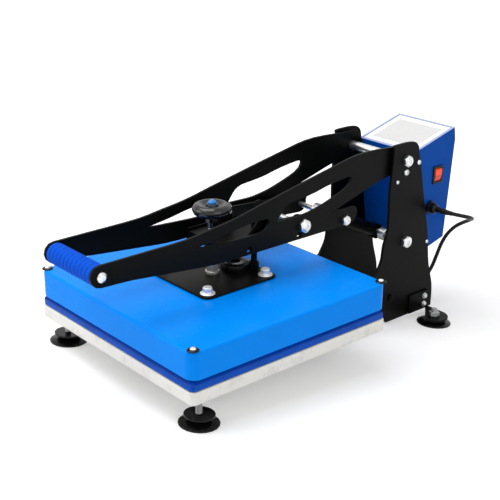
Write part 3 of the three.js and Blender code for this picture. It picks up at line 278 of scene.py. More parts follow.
class PressSizes(bpy.types.PropertyGroup):
    """Sizes of the soft pieces and the fasteners."""

    edge: bpy.props.FloatProperty(
        name="Edge softness",
        description="Width of the worn edge on sheet and bar parts",
        default=0.0007,
        min=0.0001, max=0.003,
        precision=4, unit="LENGTH",
    )
    pad_round: bpy.props.FloatProperty(
        name="Pad rounding",
        description="Radius of the silicone pad's long edges",
        default=0.004,
        min=0.0005, max=0.006,
        precision=4, unit="LENGTH",
    )
    grip_ribs: bpy.props.IntProperty(
        name="Grip ribs",
        description="Number of rounded ribs round the foam grip",
        default=12,
        min=4, max=40,
    )
    grip_groove: bpy.props.FloatProperty(
        name="Grip groove",
        description="Depth of the grooves between the grip's ribs",
        default=0.0016,
        min=0.0002, max=0.004,
        precision=4, unit="LENGTH",
    )
    cup_washer: bpy.props.FloatProperty(
        name="Cup washer",
        description="Diameter of the black cup washers on the cover's corners",
        default=0.018,
        min=0.01, max=0.03,
        precision=3, unit="LENGTH",
    )
    small_bolt: bpy.props.FloatProperty(
        name="Small bolts",
        description="Diameter of the round bolt heads on the uprights",
        default=0.0115,
        min=0.006, max=0.02,
        precision=4, unit="LENGTH",
    )
    cord_width: bpy.props.FloatProperty(
        name="Cord",
        description="Diameter of the mains cord",
        default=0.007,
        min=0.005, max=0.0075,
        precision=4, unit="LENGTH",
    )


class PressColours(bpy.types.PropertyGroup):
    """Colours of the paints, plastics and rubbers."""

    cover: bpy.props.FloatVectorProperty(
        name="Cover",
        description="Gloss paint of the platen's cover",
        default=(0.0, 0.262, 0.95),
        min=0, max=1, subtype="COLOR",
    )
    box: bpy.props.FloatVectorProperty(
        name="Control box",
        description="Powder coat of the control box",
        default=(0.0, 0.074, 0.4),
        min=0, max=1, subtype="COLOR",
    )
    frame: bpy.props.FloatVectorProperty(
        name="Frame",
        description="Powder coat of the uprights, arms and bridge",
        default=(0.0028, 0.0033, 0.0025),
        min=0, max=1, subtype="COLOR",
    )
    base: bpy.props.FloatVectorProperty(
        name="Base",
        description="Paint of the cast base plate",
        default=(0.84, 0.83, 0.79),
        min=0, max=1, subtype="COLOR",
    )
    pad: bpy.props.FloatVectorProperty(
        name="Pad",
        description="Silicone of the pressing pad",
        default=(0.0, 0.085, 0.54),
        min=0, max=1, subtype="COLOR",
    )
    grip: bpy.props.FloatVectorProperty(
        name="Grip",
        description="Foam of the handle's grip",
        default=(0.001, 0.085, 0.62),
        min=0, max=1, subtype="COLOR",
    )
    rubber: bpy.props.FloatVectorProperty(
        name="Rubber",
        description="Rubber of the feet and the cord",
        default=(0.0035, 0.0035, 0.004),
        min=0, max=1, subtype="COLOR",
    )
    rocker: bpy.props.FloatVectorProperty(
        name="Rocker",
        description="Clear red plastic of the power switch",
        default=(0.95, 0.06, 0.008),
        min=0, max=1, subtype="COLOR",
    )


# Shader maths


class Value:
    """A shader socket on which arithmetic adds the Math nodes."""

    def __init__(self, nodes, socket):
        self.nodes = nodes
        self.socket = socket

    def _math(self, operation, *values):
        inputs = dict(enumerate(values))
        return self.nodes.node("ShaderNodeMath", {"operation": operation}, inputs)

    def __add__(self, other):
        return self._math("ADD", self, other)

    def __radd__(self, other):
        return self._math("ADD", other, self)

    def __sub__(self, other):
        return self._math("SUBTRACT", self, other)

    def __rsub__(self, other):
        return self._math("SUBTRACT", other, self)

    def __mul__(self, other):
        return self._math("MULTIPLY", self, other)

    def __pow__(self, other):
        return self._math("POWER", self, other)

    def absolute(self):
        return self._math("ABSOLUTE", self)

    def fraction(self):
        return self._math("FRACT", self)

    def at_least(self, other):
        return self._math("MAXIMUM", self, other)

    def angle_with(self, other):
        """The angle of the point (self, other) round the origin."""
        return self._math("ARCTAN2", other, self)

    def spread(self, width):
        """A value from 0 to 1 as one of that width about 0."""
        return (self - 0.5) * width

    def step(self, start, end):
        """0 below start and 1 above end, with a smooth run between them."""
        settings = {"interpolation_type": "SMOOTHSTEP"}
        inputs = {"Value": self, "From Min": start, "From Max": end}
        return self.nodes.node("ShaderNodeMapRange", settings, inputs)


class Nodes:
    """A node tree under construction."""

    def __init__(self, tree):
        self.tree = tree

    def feed(self, socket, value):
        if isinstance(value, Value):
            self.tree.links.new(value.socket, socket)
        elif socket.type == "RGBA" and len(value) == 3:
            socket.default_value = (*value, 1.0)
        else:
            socket.default_value = value

    def node(self, kind, settings=None, inputs=None, output=0):
        made = self.tree.nodes.new(kind)
        for name, value in (settings or {}).items():
            setattr(made, name, value)
        for name, value in (inputs or {}).items():
            self.feed(made.inputs[name], value)
        return Value(self, made.outputs[output])

    def seen(self):
        """1 for rays from the camera and for reflections, and 0 for rays that light a piece."""
        rays = self.node("ShaderNodeLightPath").socket.node.outputs
        return Value(self, rays["Is Camera Ray"]).at_least(Value(self, rays["Is Glossy Ray"]))


class Finish(Nodes):
    """A material under construction: its node tree round one Principled shader."""

    def __init__(self, name, **shader):
        self.name = name
        self.material = bpy.data.materials.new(name)
        self.material.use_nodes = True
        super().__init__(self.material.node_tree)
        self.shader = next(n for n in self.tree.nodes if n.type == "BSDF_PRINCIPLED")
        self.set(**shader)

    def set(self, **values):
        """Sets sockets of the shader; an underscore in a name stands for a space."""
        for name, value in values.items():
            self.feed(self.shader.inputs[name.replace("_", " ")], value)

    def place(self):
        """Object coordinates, which are the frame's metres on every piece."""
        return self.node("ShaderNodeTexCoord", output="Object")

    def moved(self, scale=(1, 1, 1), rotation=(0, 0, 0), location=(0, 0, 0)):
        inputs = {"Vector": self.place(), "Scale": scale}
        inputs.update({"Rotation": rotation, "Location": location})
        return self.node("ShaderNodeMapping", inputs=inputs)

    def axes(self, vector=None):
        split = self.node("ShaderNodeSeparateXYZ", inputs={"Vector": vector or self.place()})
        return [Value(self, socket) for socket in split.socket.node.outputs]

    def noise(self, size, detail=3.0, roughness=0.5, vector=None):
        """Cloudy noise from 0 to 1, whose patches are about as large as size."""
        inputs = {"Vector": vector or self.place(), "Scale": 1 / size}
        inputs.update({"Detail": detail, "Roughness": roughness})
        return self.node("ShaderNodeTexNoise", inputs=inputs)

    def cells(self, size):
        """Distance to the middle of the nearest cell of that size."""
        inputs = {"Vector": self.place(), "Scale": 1 / size}
        return self.node("ShaderNodeTexVoronoi", inputs=inputs)

    def blend(self, share, first, second):
        """The second colour over the first, by a share from 0 to 1."""
        mix = self.node("ShaderNodeMix", {"data_type": "RGBA", "clamp_factor": True}).socket.node
        colour_sockets = [s for s in mix.inputs if s.type == "RGBA"]
        self.feed(mix.inputs[0], share)
        self.feed(colour_sockets[0], first)
        self.feed(colour_sockets[1], second)
        return Value(self, next(s for s in mix.outputs if s.type == "RGBA"))

    def bump(self, height, depth):
        """A relief that is depth metres tall where height goes from 0 to 1."""
        inputs = {"Height": height, "Distance": depth, "Strength": 1.0}
        return self.node("ShaderNodeBump", inputs=inputs)


# Finishes


def dimmed(colour, share):
    """The colour at a share of its brightness."""
    return [c * share for c in colour]


def powder_coat(name, colour, roughness, gloss):
    """Sprayed and baked paint: a fine orange-peel relief, and dust in the gloss."""
    f = Finish(name, Specular_IOR_Level=gloss)
    cloud = f.noise(COAT_CLOUD, detail=4)
    peel = f.noise(COAT_PEEL, detail=2)
    f.set(
        Base_Color=f.blend(cloud.step(0.35, 0.7), colour, dimmed(colour, 0.96)),
        Roughness=roughness + cloud.spread(0.12) + peel.spread(0.08),
        Normal=f.bump(peel, COAT_RELIEF),
    )
    return f


def box_coat(name, colour):
    """The box's paint, with a pale painted highlight along the rim that stands round its panel."""
    f = powder_coat(name, colour, 0.34, gloss=0.05)
    painted = Value(f, f.shader.inputs["Base Color"].links[0].from_socket)
    (front_y, front_z), (rear_y, rear_z) = BOX_TOP
    slope = math.atan2(rear_z - front_z, rear_y - front_y) + LEAN
    level = Matrix.Rotation(-slope, 4, "X")
    corner = level @ PRESS @ Vector((0, front_y * MM, front_z * MM))
    over = f.axes(f.moved(rotation=(-slope, 0, 0), location=tuple(-corner)))[2]
    # painted highlight: the rim over the panel's plane is painted pale, as the lamps' shine on it
    f.set(Base_Color=f.blend(over.step(*RIM_HIGHLIGHT_BAND), painted, RIM_HIGHLIGHT_COLOUR))
    return f


def cast_paint(name, colour):
    """Thin paint over a rough casting: pits with painted shade, a lumpy skin, and rubbed grey and
    sandy patches.
    """
    f = Finish(name, Specular_IOR_Level=0.35)
    patches = f.noise(CAST_PATCH, detail=5, roughness=0.65)
    streaked = f.moved(scale=(1, 1, 2.2), location=(0.3, 0, 0))
    stains = f.noise(CAST_STAIN, detail=4, roughness=0.7, vector=streaked)
    pits = 1.0 - f.cells(CAST_PIT).step(0.12, 0.34)
    rare_pits = pits * patches.step(0.48, 0.62)
    lumps = f.noise(CAST_LUMP)
    rubbed = f.blend(patches.step(0.5, 0.72) * 0.55, colour, dimmed(colour, 0.74))
    sandy = (colour[0] * 0.86, colour[1] * 0.82, colour[2] * 0.72)
    stained = f.blend(stains.step(0.56, 0.74) * 0.6, rubbed, sandy)
    # painted shade: the pits are painted dark in the base colour, as the shade in them
    f.set(
        Base_Color=f.blend(rare_pits * 0.7, stained, dimmed(colour, 0.45)),
        Roughness=0.5 + patches.spread(0.2),
        Normal=f.bump(lumps - rare_pits * 0.8, CAST_RELIEF),
    )
    return f


def bakelite(name, colour):
    """Polished black knob: a deep gloss with finger haze in it."""
    f = Finish(name, Specular_IOR_Level=0.5)
    haze = f.noise(KNOB_HAZE, detail=4)
    f.set(
        Base_Color=f.blend(haze.step(0.5, 0.8), colour, dimmed(colour, 1.8)),
        Roughness=0.1 + haze * 0.14,
        Normal=f.bump(haze, KNOB_RELIEF),
    )
    return f


def bright_metal(name, colour, roughness, metallic=1.0):
    """Plated steel with a fine grain from its brushing and a little haze."""
    f = Finish(name, Metallic=metallic)
    haze = f.noise(METAL_HAZE)
    lines = f.noise(METAL_GRAIN, detail=2, vector=f.moved(scale=(1, 6, 6)))
    f.set(
        Base_Color=f.blend(haze.step(0.4, 0.75), colour, dimmed(colour, 0.82)),
        Roughness=roughness + lines.spread(0.15) + haze.spread(0.1),
        Normal=f.bump(lines, METAL_RELIEF),
    )
    return f


def moulded(
    name, colour, roughness, grain=MOULD_GRAIN, relief=MOULD_RELIEF, gloss=0.25, cloud_share=0.15
):
    """Moulded rubber or plastic with the fine texture of its mould."""
    f = Finish(name, Specular_IOR_Level=gloss)
    fine = f.cells(grain)
    cloud = f.noise(MOULD_CLOUD)
    faded = [c * (1 - cloud_share) + 0.002 for c in colour]
    f.set(
        Base_Color=f.blend(cloud.step(0.4, 0.75), colour, faded),
        Roughness=roughness + cloud.spread(0.15),
        Normal=f.bump(fine, relief),
    )
    return f


def foam(name, colour):
    """Closed-cell foam: pinholes painted dark as painted shade, and faint darker patches from
    hands.
    """
    f = Finish(name, Specular_IOR_Level=0.08)
    cells = f.cells(FOAM_CELL)
    cloud = f.noise(FOAM_CLOUD, detail=4)
    # painted shade: the pinholes are painted dark, as the shade in them; the cloud patches are dirt
    # from hands
    holes = 1.0 - cells.step(0.1, 0.45)
    darkness = holes * 0.5 + cloud.step(0.5, 0.8) * 0.2
    f.set(
        Base_Color=f.blend(darkness, colour, dimmed(colour, 0.5)),
        Roughness=0.62 + cloud * 0.15,
        Normal=f.bump(cells, FOAM_RELIEF),
    )
    return f


def threaded(name, colour, pitch, axis=None):
    """Rolled thread of a pitch in metres, round an upright axis of the press if one is given."""
    f = Finish(name, Metallic=1.0)
    along = f.axes(f.moved(rotation=(-LEAN, 0, 0)))[2]
    turns = along * (1 / pitch)
    if axis is not None:
        upright = Matrix.Rotation(-LEAN, 4, "X")
        middle = upright @ PRESS @ Vector([c * MM for c in axis])
        x, y, _ = f.axes(f.moved(rotation=(-LEAN, 0, 0), location=tuple(-middle)))
        turns = turns + x.angle_with(y) * (1 / math.tau)
    ridge = (turns.fraction() - 0.5).absolute() * 2.0
    haze = f.noise(THREAD_HAZE)
    # painted shade: the grooves between the ridges are painted darker
    f.set(
        Base_Color=f.blend(ridge, dimmed(colour, 0.4), colour),
        Roughness=0.32 + haze * 0.14,
        Normal=f.bump(ridge, pitch * 0.35),
    )
    return f


def rocker_plastic(name, colour):
    """Clear-topped rocker: its upper half painted lit with a painted glow, its lower half painted
    in shade with a dimmer one.
    """
    f = Finish(name, Specular_IOR_Level=0.4, Emission_Strength=0.25)
    upper = (f.axes()[2] - ROCKER_MIDDLE).step(-LENS_BLEND, LENS_BLEND)
    cloud = f.noise(LENS_HAZE)
    deep = [colour[0] * 0.78, colour[1] * 0.55, colour[2] * 0.5]
    # painted light: the upper half is painted lit and glowing, the lower half (deep) painted in
    # shade with a dimmer glow
    f.set(
        Base_Color=f.blend(upper, deep, colour),
        Emission_Color=f.blend(upper, LIT_RED, colour),
        Roughness=0.2 + cloud * 0.12,
        Normal=f.bump(cloud, LENS_RELIEF),
    )
    return f


def slot_finishes(colours):
    """A finish for each of the record's material slots."""
    return (
        cast_paint("cast_white", colours.base),
        moulded("blue_silicone", colours.pad, 0.42, gloss=0.12),
        powder_coat("black_steel", colours.frame, 0.36, gloss=0.06),
        bright_metal("bright_steel", (0.76, 0.77, 0.77), 0.3),
        bright_metal("zinc_steel", (0.5, 0.49, 0.46), 0.38),
        moulded("black_rubber", colours.rubber, 0.2, RUBBER_GRAIN, RUBBER_RELIEF, gloss=0.2),
        box_coat("box_blue", colours.box),
        moulded("board", (0.02, 0.12, 0.05), 0.4),
        moulded("panel_white", (0.9, 0.905, 0.91), 0.4, cloud_share=0.04),
        moulded("display_grey", (0.66, 0.66, 0.655), 0.35, cloud_share=0.04),
        moulded("black_plastic", (0.005, 0.005, 0.005), 0.28, gloss=0.2),
        rocker_plastic("red_plastic", colours.rocker),
        moulded("cord_rubber", colours.rubber, 0.38, CORD_GRAIN, gloss=0.2),
        foam("grip_foam", colours.grip),
        powder_coat("blue_paint", colours.cover, 0.28, gloss=0.05),
        bright_metal("cast_aluminium", (0.45, 0.46, 0.47), 0.5),
        moulded("insulation", (0.75, 0.72, 0.64), 0.95),
        moulded("blue_plastic", (0.03, 0.22, 0.6), 0.22),
    )


SLOT_MATERIALS = {}


def give(piece, material):
    """Makes a material the piece's only one."""
    piece.data.materials.clear()
    piece.data.materials.append(material)


class HEATPRESS_OT_finishes(bpy.types.Operator):
    """Gives every part of the press its finish"""

    bl_idname = "heat_press.finishes"
    bl_label = "Finishes"

    def execute(self, context):
        for finish in slot_finishes(context.scene.heat_press_colours):
            SLOT_MATERIALS[finish.name] = finish.material
        for subpart in frame["record"]["subparts"]:
            give(frame["nodes"][subpart["node"]], SLOT_MATERIALS[subpart["material_slot"]])
        knob = bakelite("knob_bakelite", (0.004, 0.004, 0.004))
        plated = bright_metal("zinc_plate", (0.86, 0.87, 0.88), 0.36, metallic=0.55)
        screw = threaded("screw_thread", (0.55, 0.56, 0.56), SCREW_PITCH * MM, SCREW)
        studs = threaded("stud_thread", (0.55, 0.56, 0.55), STUD_PITCH * MM)
        for finish, nodes in (
            (knob, ["pressure_knob"]),
            (plated, ["plate_bolt_" + corner for corner in CORNERS]),
            (screw, ["pressure_screw"]),
            (studs, [corner.replace("_", "_foot_") + "_stud" for corner in CORNERS]),
        ):
            for node in nodes:
                give(frame["nodes"][node], finish.material)
        return {"FINISHED"}


# Making pieces


def start():
    """Nothing selected, so that an operator acts on the new primitive alone."""
    bpy.ops.object.select_all(action="DESELECT")


def select_only(piece):
    """The piece alone selected, and active."""
    start()
    bpy.context.view_layer.objects.active = piece
    piece.select_set(True)


def turned(profile, steps=HEAD_STEPS):
    """A piece turned about its own Z axis, from its (radius, height) points in millimetres."""
    start()
    bpy.ops.mesh.primitive_plane_add(size=MM)
    piece = bpy.context.object
    bpy.ops.object.mode_set(mode="EDIT")
    bpy.ops.mesh.select_mode(type="VERT")
    bpy.ops.mesh.select_all(action="SELECT")
    bpy.ops.mesh.merge(type="CENTER")
    last = (0.0, 0.0)
    for index, point in enumerate(profile):
        move = ((point[0] - last[0]) * MM, 0, (point[1] - last[1]) * MM)
        if index == 0:
            bpy.ops.transform.translate(value=move)
        else:
            bpy.ops.mesh.extrude_region_move(TRANSFORM_OT_translate={"value": move})
        last = point
    bpy.ops.mesh.select_all(action="SELECT")
    bpy.ops.mesh.spin(steps=steps, angle=math.tau, center=(0, 0, 0), axis=(0, 0, 1))
    tidy()
    bpy.ops.object.mode_set(mode="OBJECT")
    return piece


def tidy():
    """Merges doubled points and turns the faces outwards, in edit mode."""
    bpy.ops.mesh.select_all(action="SELECT")
    bpy.ops.mesh.remove_doubles(threshold=SAME_POINT * MM)
    bpy.ops.mesh.normals_make_consistent(inside=False)


def scaled(outline, radius, height=1):
    """An outline of shares, in millimetres."""
    return [(r * radius, z * height) for r, z in outline]


def head(outline, across, depth):
    """A turned head with a six-sided socket of that width and depth in its top."""
    piece = turned(outline)
    start()
    bpy.ops.mesh.primitive_cylinder_add(
        vertices=6,
        radius=across / 2 / math.cos(math.pi / 6) * MM,
        depth=2 * depth * MM,
        location=(0, 0, outline[-1][1] * MM),
    )
    tool = bpy.context.object
    cut = piece.modifiers.new("socket", "BOOLEAN")
    cut.object = tool
    select_only(piece)
    bpy.ops.object.modifier_apply(modifier=cut.name)
    bpy.data.objects.remove(tool)
    return piece


def block(size, middle):
    """A block in edit mode, by its sizes and its middle in millimetres."""
    start()
    bpy.ops.mesh.primitive_cube_add(size=1)
    piece = bpy.context.object
    bpy.ops.object.mode_set(mode="EDIT")
    bpy.ops.transform.resize(value=[s * MM for s in size])
    bpy.ops.transform.translate(value=[m * MM for m in middle])
    return piece


def pick_edges(piece, test):
    """Selects the edges whose two ends pass a test, in edit mode."""
    bpy.ops.mesh.select_all(action="DESELECT")
    bpy.ops.object.mode_set(mode="OBJECT")
    points = piece.data.vertices
    for edge in piece.data.edges:
        edge.select = test(*(points[i].co for i in edge.vertices))
    bpy.ops.object.mode_set(mode="EDIT")
    bpy.ops.mesh.select_mode(type="EDGE")


def lay(piece, name, matrix, body, slot, smooth=30):
    """Moves a finished piece's mesh to its place, names it and gives it its body and finish."""
    if bpy.context.mode != "OBJECT":
        bpy.ops.object.mode_set(mode="OBJECT")
    piece.name = name
    piece.data.name = name
    piece.data.transform(matrix)
    give(piece, SLOT_MATERIALS[slot])
    select_only(piece)
    bpy.ops.object.shade_smooth_by_angle(angle=math.radians(smooth))
    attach(piece, body)
    return piece


def lay_copies(model, places, body, slot):
    """One copy of a model, with its own mesh, at each named place; the model itself goes."""
    for name, matrix in places.items():
        copy = model.copy()
        copy.data = model.data.copy()
        bpy.context.scene.collection.objects.link(copy)
        lay(copy, name, matrix, body, slot)
    bpy.data.objects.remove(model)


# Pad and grip


class HEATPRESS_OT_pad(bpy.types.Operator):
    """Makes the silicone pad with its soft round edges"""

    bl_idname = "heat_press.pad"
    bl_label = "Pad"

    def execute(self, context):
        low, high = PAD_BOX
        size = [high[i] - low[i] for i in range(3)]
        piece = block(size, between(low, high))
        pick_edges(piece, lambda a, b: abs(a.z - b.z) > size[2] / 2 * MM)
        bpy.ops.mesh.bevel(offset=PAD_CORNER * MM, segments=6, affect="EDGES")
        pick_edges(piece, lambda a, b: abs(a.z - b.z) < MM)
        bpy.ops.mesh.bevel(
            offset=context.scene.heat_press_sizes.pad_round, segments=4, affect="EDGES"
        )
        tidy()
        lay(piece, "pad_cushion", PRESS, "frame", "blue_silicone", smooth=40)
        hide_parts("silicone_pad")
        return {"FINISHED"}


class HEATPRESS_OT_grip(bpy.types.Operator):
    """Makes the handle's foam grip with its rounded ribs"""

    bl_idname = "heat_press.grip"
    bl_label = "Grip"

    def execute(self, context):
        sizes = context.scene.heat_press_sizes
        low, high = GRIP_BOX
        length = high[0] - low[0]
        radius = (high[2] - low[2]) / 2
        groove = sizes.grip_groove / MM
        pitch = length / sizes.grip_ribs
        profile = [(BAR_RADIUS, 0), (radius - groove, 0)]
        for rib in range(sizes.grip_ribs):
            foot = rib * pitch
            for along, down in RIB_SHARES:
                profile.append((radius - groove * down, foot + along * pitch))
        profile += [(radius - groove, length), (BAR_RADIUS, length), (BAR_RADIUS, 0)]
        piece = turned(profile, GRIP_STEPS)
        _, y, z = between(low, high)
        place = at(0, y, z) @ (Matrix.Translation([low[0] * MM, 0, 0]) @ outwards(1))
        lay(piece, "foam_grip", place, "lever", "grip_foam", smooth=60)
        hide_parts("handle_grip")
        return {"FINISHED"}


# Small fasteners


class HEATPRESS_OT_cover_screws(bpy.types.Operator):
    """Sets a dome-headed screw in a black cup washer at each corner of the cover"""

    bl_idname = "heat_press.cover_screws"
    bl_label = "Cover screws"

    def execute(self, context):
        radius = context.scene.heat_press_sizes.cup_washer / MM / 2
        washer = turned(scaled(CUP_WASHER, radius))
        lay_copies(washer, self.places("cup_washer", SEAT), "platen", "black_plastic")
        screw = head(COVER_SCREW, *COVER_SOCKET)
        places = self.places("cover_screw", COVER_SCREW_RISE)
        lay_copies(screw, places, "platen", "bright_steel")
        return {"FINISHED"}

    def places(self, name, rise):
        found = {}
        for row, y in COVER_SCREW_ROWS:
            for side, x in (("left", -COVER_SCREW_X), ("right", COVER_SCREW_X)):
                found[f"{name}_{row}_{side}"] = at(x, y, COVER_TOP + rise)
        return found


class HEATPRESS_OT_upright_bolts(bpy.types.Operator):
    """Sets the small round-headed bolts on the uprights and the rear foot brackets"""

    bl_idname = "heat_press.upright_bolts"
    bl_label = "Upright bolts"

    def execute(self, context):
        radius = context.scene.heat_press_sizes.small_bolt / MM / 2
        across, depth = UPRIGHT_SOCKET
        for name, share, spots in SMALL_BOLTS:
            size = radius * share
            bolt = head(scaled(UPRIGHT_BOLT, size, size), size * across, size * depth)
            places = self.places(name, SMALL_BOLT_SEAT, spots)
            lay_copies(bolt, places, "frame", "bright_steel")
        bolt = head(BRACKET_BOLT, *BRACKET_SOCKET)
        places = self.places("bracket_bolt", BRACKET_DEPTH, BRACKET_BOLTS)
        lay_copies(bolt, places, "frame", "bright_steel")
        return {"FINISHED"}

    def places(self, name, rise, spots):
        """Places on both sides of the press, at a rise over the uprights' outer faces."""
        found = {}
        for number, (y, z) in enumerate(spots, 1):
            for side, turn in SIDES:
                place = at(turn * (UPRIGHT_SIDE + rise), y, z)
                found[f"{name}_{number}_{side}"] = place @ outwards(turn)
        return found


class HEATPRESS_OT_shaft_heads(bpy.types.Operator):
    """Sets a domed face with a six-sided socket on the heads of the main shafts"""

    bl_idname = "heat_press.shaft_heads"
    bl_label = "Shaft heads"

    def execute(self, context):
        across, depth = SHAFT_SOCKET
        for node, body, share in SHAFT_HEADS:
            low, high = press_box(node)
            _, y, z = between(low, high)
            radius = (high[1] - low[1]) * share
            face = head(scaled(SHAFT_FACE, radius), radius * across, depth)
            places = {}
            for (side, turn), x in zip(SIDES, (high[0], low[0])):
                places[f"{node}_face_{side}"] = at(x, y, z) @ outwards(turn)
            lay_copies(face, places, body, "bright_steel")
        return {"FINISHED"}


class HEATPRESS_OT_box_screws(bpy.types.Operator):
    """Sets the four screws that hold the control box's rear face"""

    bl_idname = "heat_press.box_screws"
    bl_label = "Box screws"

    def execute(self, context):
        screw = head(BOX_SCREW, *BOX_SOCKET)
        (top_y, top_z), (low_y, low_z) = BOX_REAR
        lean_back = math.atan2(top_y - low_y, top_z - low_z)
        facing = Matrix.Rotation(lean_back - math.radians(90), 4, "X")
        places = {}
        for row, share in BOX_SCREW_ROWS:
            y, z = top_y + (low_y - top_y) * share, top_z + (low_z - top_z) * share
            for side, x in (("left", -BOX_SCREW_X), ("right", BOX_SCREW_X)):
                places[f"box_screw_{row}_{side}"] = at(x, y, z) @ facing
        lay_copies(screw, places, "frame", "black_plastic")
        return {"FINISHED"}


# Gas strut, bridge and mounting plate


class HEATPRESS_OT_strut(bpy.types.Operator):
    """Makes the gas strut: an open tube, a rod with its piston, and an eye on each"""

    bl_idname = "heat_press.strut"
    bl_label = "Gas strut"

    def execute(self, context):
        axis = self.joint("strut_stroke")["axis"]
        lean = Matrix.Rotation(math.atan2(-axis[1], axis[2]), 4, "X")
        along = Matrix.Translation(self.joint("strut_swing")["pos_m"]) @ lean
        tube = turned(self.tube_outline(), TUBE_STEPS)
        lay(tube, "strut_tube", along, "strut_body", "black_steel", smooth=35)
        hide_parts("strut_cylinder")
        piston = turned(self.rod_outline(), ROD_STEPS)
        lay(piston, "strut_piston_rod", along, "strut_piston", "bright_steel", smooth=35)
        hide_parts("strut_rod")
        self.eye("strut_lower_eye", LOWER_EYE, along, 0, "strut_body", "black_steel")
        self.eye("strut_rod_eye", TAIL_EYE, along, TAIL_SHAFT_AT, "strut_piston", "bright_steel")
        return {"FINISHED"}

    def joint(self, name):
        joints = frame["record"]["behaviour"]["joints"]
        return next(joint for joint in joints if joint["name"] == name)

    def tube_outline(self):
        """Up the tube's outside, from its foot to its mouth, and down its bore to its floor."""
        foot, neck, mouth, out = STRUT_FOOT, STRUT_NECK, STRUT_MOUTH, STRUT_RADIUS
        drawn_in, taper = STRUT_TAPER
        sunk, groove = STRUT_GROOVE
        lip, lip_length = STRUT_LIP
        guide = ROD_RADIUS + STRUT_ROOM
        outline = [(0, foot), (out - drawn_in, foot), (out, foot + taper)]
        outline += [(out, neck - STRUT_SLOPE), (out - sunk, neck), (out - sunk, neck + groove)]
        outline += [(out, neck + groove + STRUT_SLOPE), (out, mouth - lip_length)]
        outline += [(out - lip, mouth), (guide, mouth), (guide, neck + STRUT_SLOPE)]
        return outline + [(STRUT_BORE, neck), (STRUT_BORE, STRUT_FLOOR), (0, STRUT_FLOOR)]

    def rod_outline(self):
        """Round the piston and up the rod."""
        inner, outer = PISTON
        inset, rise = PISTON_EDGE
        wide = STRUT_BORE - STRUT_ROOM
        outline = [(0, inner), (wide - inset, inner), (wide, inner + rise), (wide, outer - rise)]
        outline += [(wide - inset, outer), (ROD_RADIUS, outer)]
        return outline + [(ROD_RADIUS, ROD_TIP), (0, ROD_TIP)]

    def eye(self, name, sizes, along, reach, body, slot):
        """A ring across the strut, round the shaft that lies that far along it."""
        radius, bore, width = sizes
        half = width / 2
        ring = turned(
            [(bore, -half), (radius - EYE_EDGE, -half), (radius, EYE_EDGE - half)]
            + [(radius, half - EYE_EDGE), (radius - EYE_EDGE, half), (bore, half), (bore, -half)]
        )
        place = along @ Matrix.Translation((0, 0, reach * MM)) @ outwards(1)
        lay(ring, name, place, body, slot, smooth=35)


class HEATPRESS_OT_gussets(bpy.types.Operator):
    """Raises the bridge's side plates behind the screw with a sloping gusset on each"""

    bl_idname = "heat_press.gussets"
    bl_label = "Bridge gussets"

    def execute(self, context):
        front, back, bottom, top = GUSSET
        upper = (top - NEAR_FACE) * MM
        forward = (front + NEAR_FACE) * MM
        for side in ("left", "right"):
            low, high = press_box(f"bridge_plate_{side}")
            size = (high[0] - low[0] - GUSSET_MARGIN, back - front, top - bottom)
            middle_x = between(low, high)[0]
            piece = block(size, (middle_x, (front + back) / 2, (bottom + top) / 2))
            pick_edges(piece, lambda a, b: min(a.z, b.z) > upper and max(a.y, b.y) < forward)
            bpy.ops.transform.translate(value=(0, GUSSET_SLOPE * MM, 0))
            bpy.ops.mesh.select_all(action="SELECT")
            bpy.ops.mesh.bevel(offset=GUSSET_EDGE * MM, segments=1, affect="EDGES")
            tidy()
            lay(piece, f"bridge_gusset_{side}", PRESS, "lever", "black_steel")
        return {"FINISHED"}


class HEATPRESS_OT_plate_cap(bpy.types.Operator):
    """Makes the round black cap behind the screw on the mounting plate"""

    bl_idname = "heat_press.plate_cap"
    bl_label = "Plate cap"

    def execute(self, context):
        cap = turned(PLATE_CAP, CAP_STEPS)
        place = at(0, PLATE_CAP_Y, PLATE_TOP + SEAT)
        lay(cap, "plate_cap", place, "platen", "black_plastic")
        return {"FINISHED"}


# Mains cord


def smooth_line(points, spacing):
    """Points about spacing apart on a smooth line through the given ones."""
    points = [Vector(p) for p in points]
    line = []
    for i in range(len(points) - 1):
        a, b = points[i], points[i + 1]
        before = points[i - 1] if i else a * 2 - b
        after = points[i + 2] if i + 2 < len(points) else b * 2 - a
        count = max(1, round((b - a).length / spacing))
        for step in range(count):
            t = step / count
            slope = b - before
            bend = before * 2 - a * 5 + b * 4 - after
            twist = a * 3 - before - b * 3 + after
            line.append(a + (slope * t + bend * t**2 + twist * t**3) * 0.5)
    line.append(points[-1])
    return line


def coil_points():
    """The coil's centre line: layers of one loop each, alternately running in and out."""
    found = []
    for step in range(1, COIL_LAYERS * COIL_STEPS):
        turns = step / COIL_STEPS
        inward = abs(turns - 2 * round(turns / 2))
        layer = math.floor(turns + 0.5)
        climb = (turns - layer) / COIL_CLIMB + 0.5
        climb = min(max(climb, 0), 1)
        climb = climb * climb * (3 - 2 * climb)
        level = layer - 1 + climb if 0 < layer < COIL_LAYERS else max(layer - 1, 0)
        radius = COIL_RADIUS - COIL_PITCH * inward
        angle = math.pi + turns * math.tau
        x = COIL_MIDDLE[0] + radius * math.cos(angle)
        y = COIL_MIDDLE[1] + radius * math.sin(angle)
        found.append((x, y, CORD_LEVEL + level * COIL_PITCH))
    return found


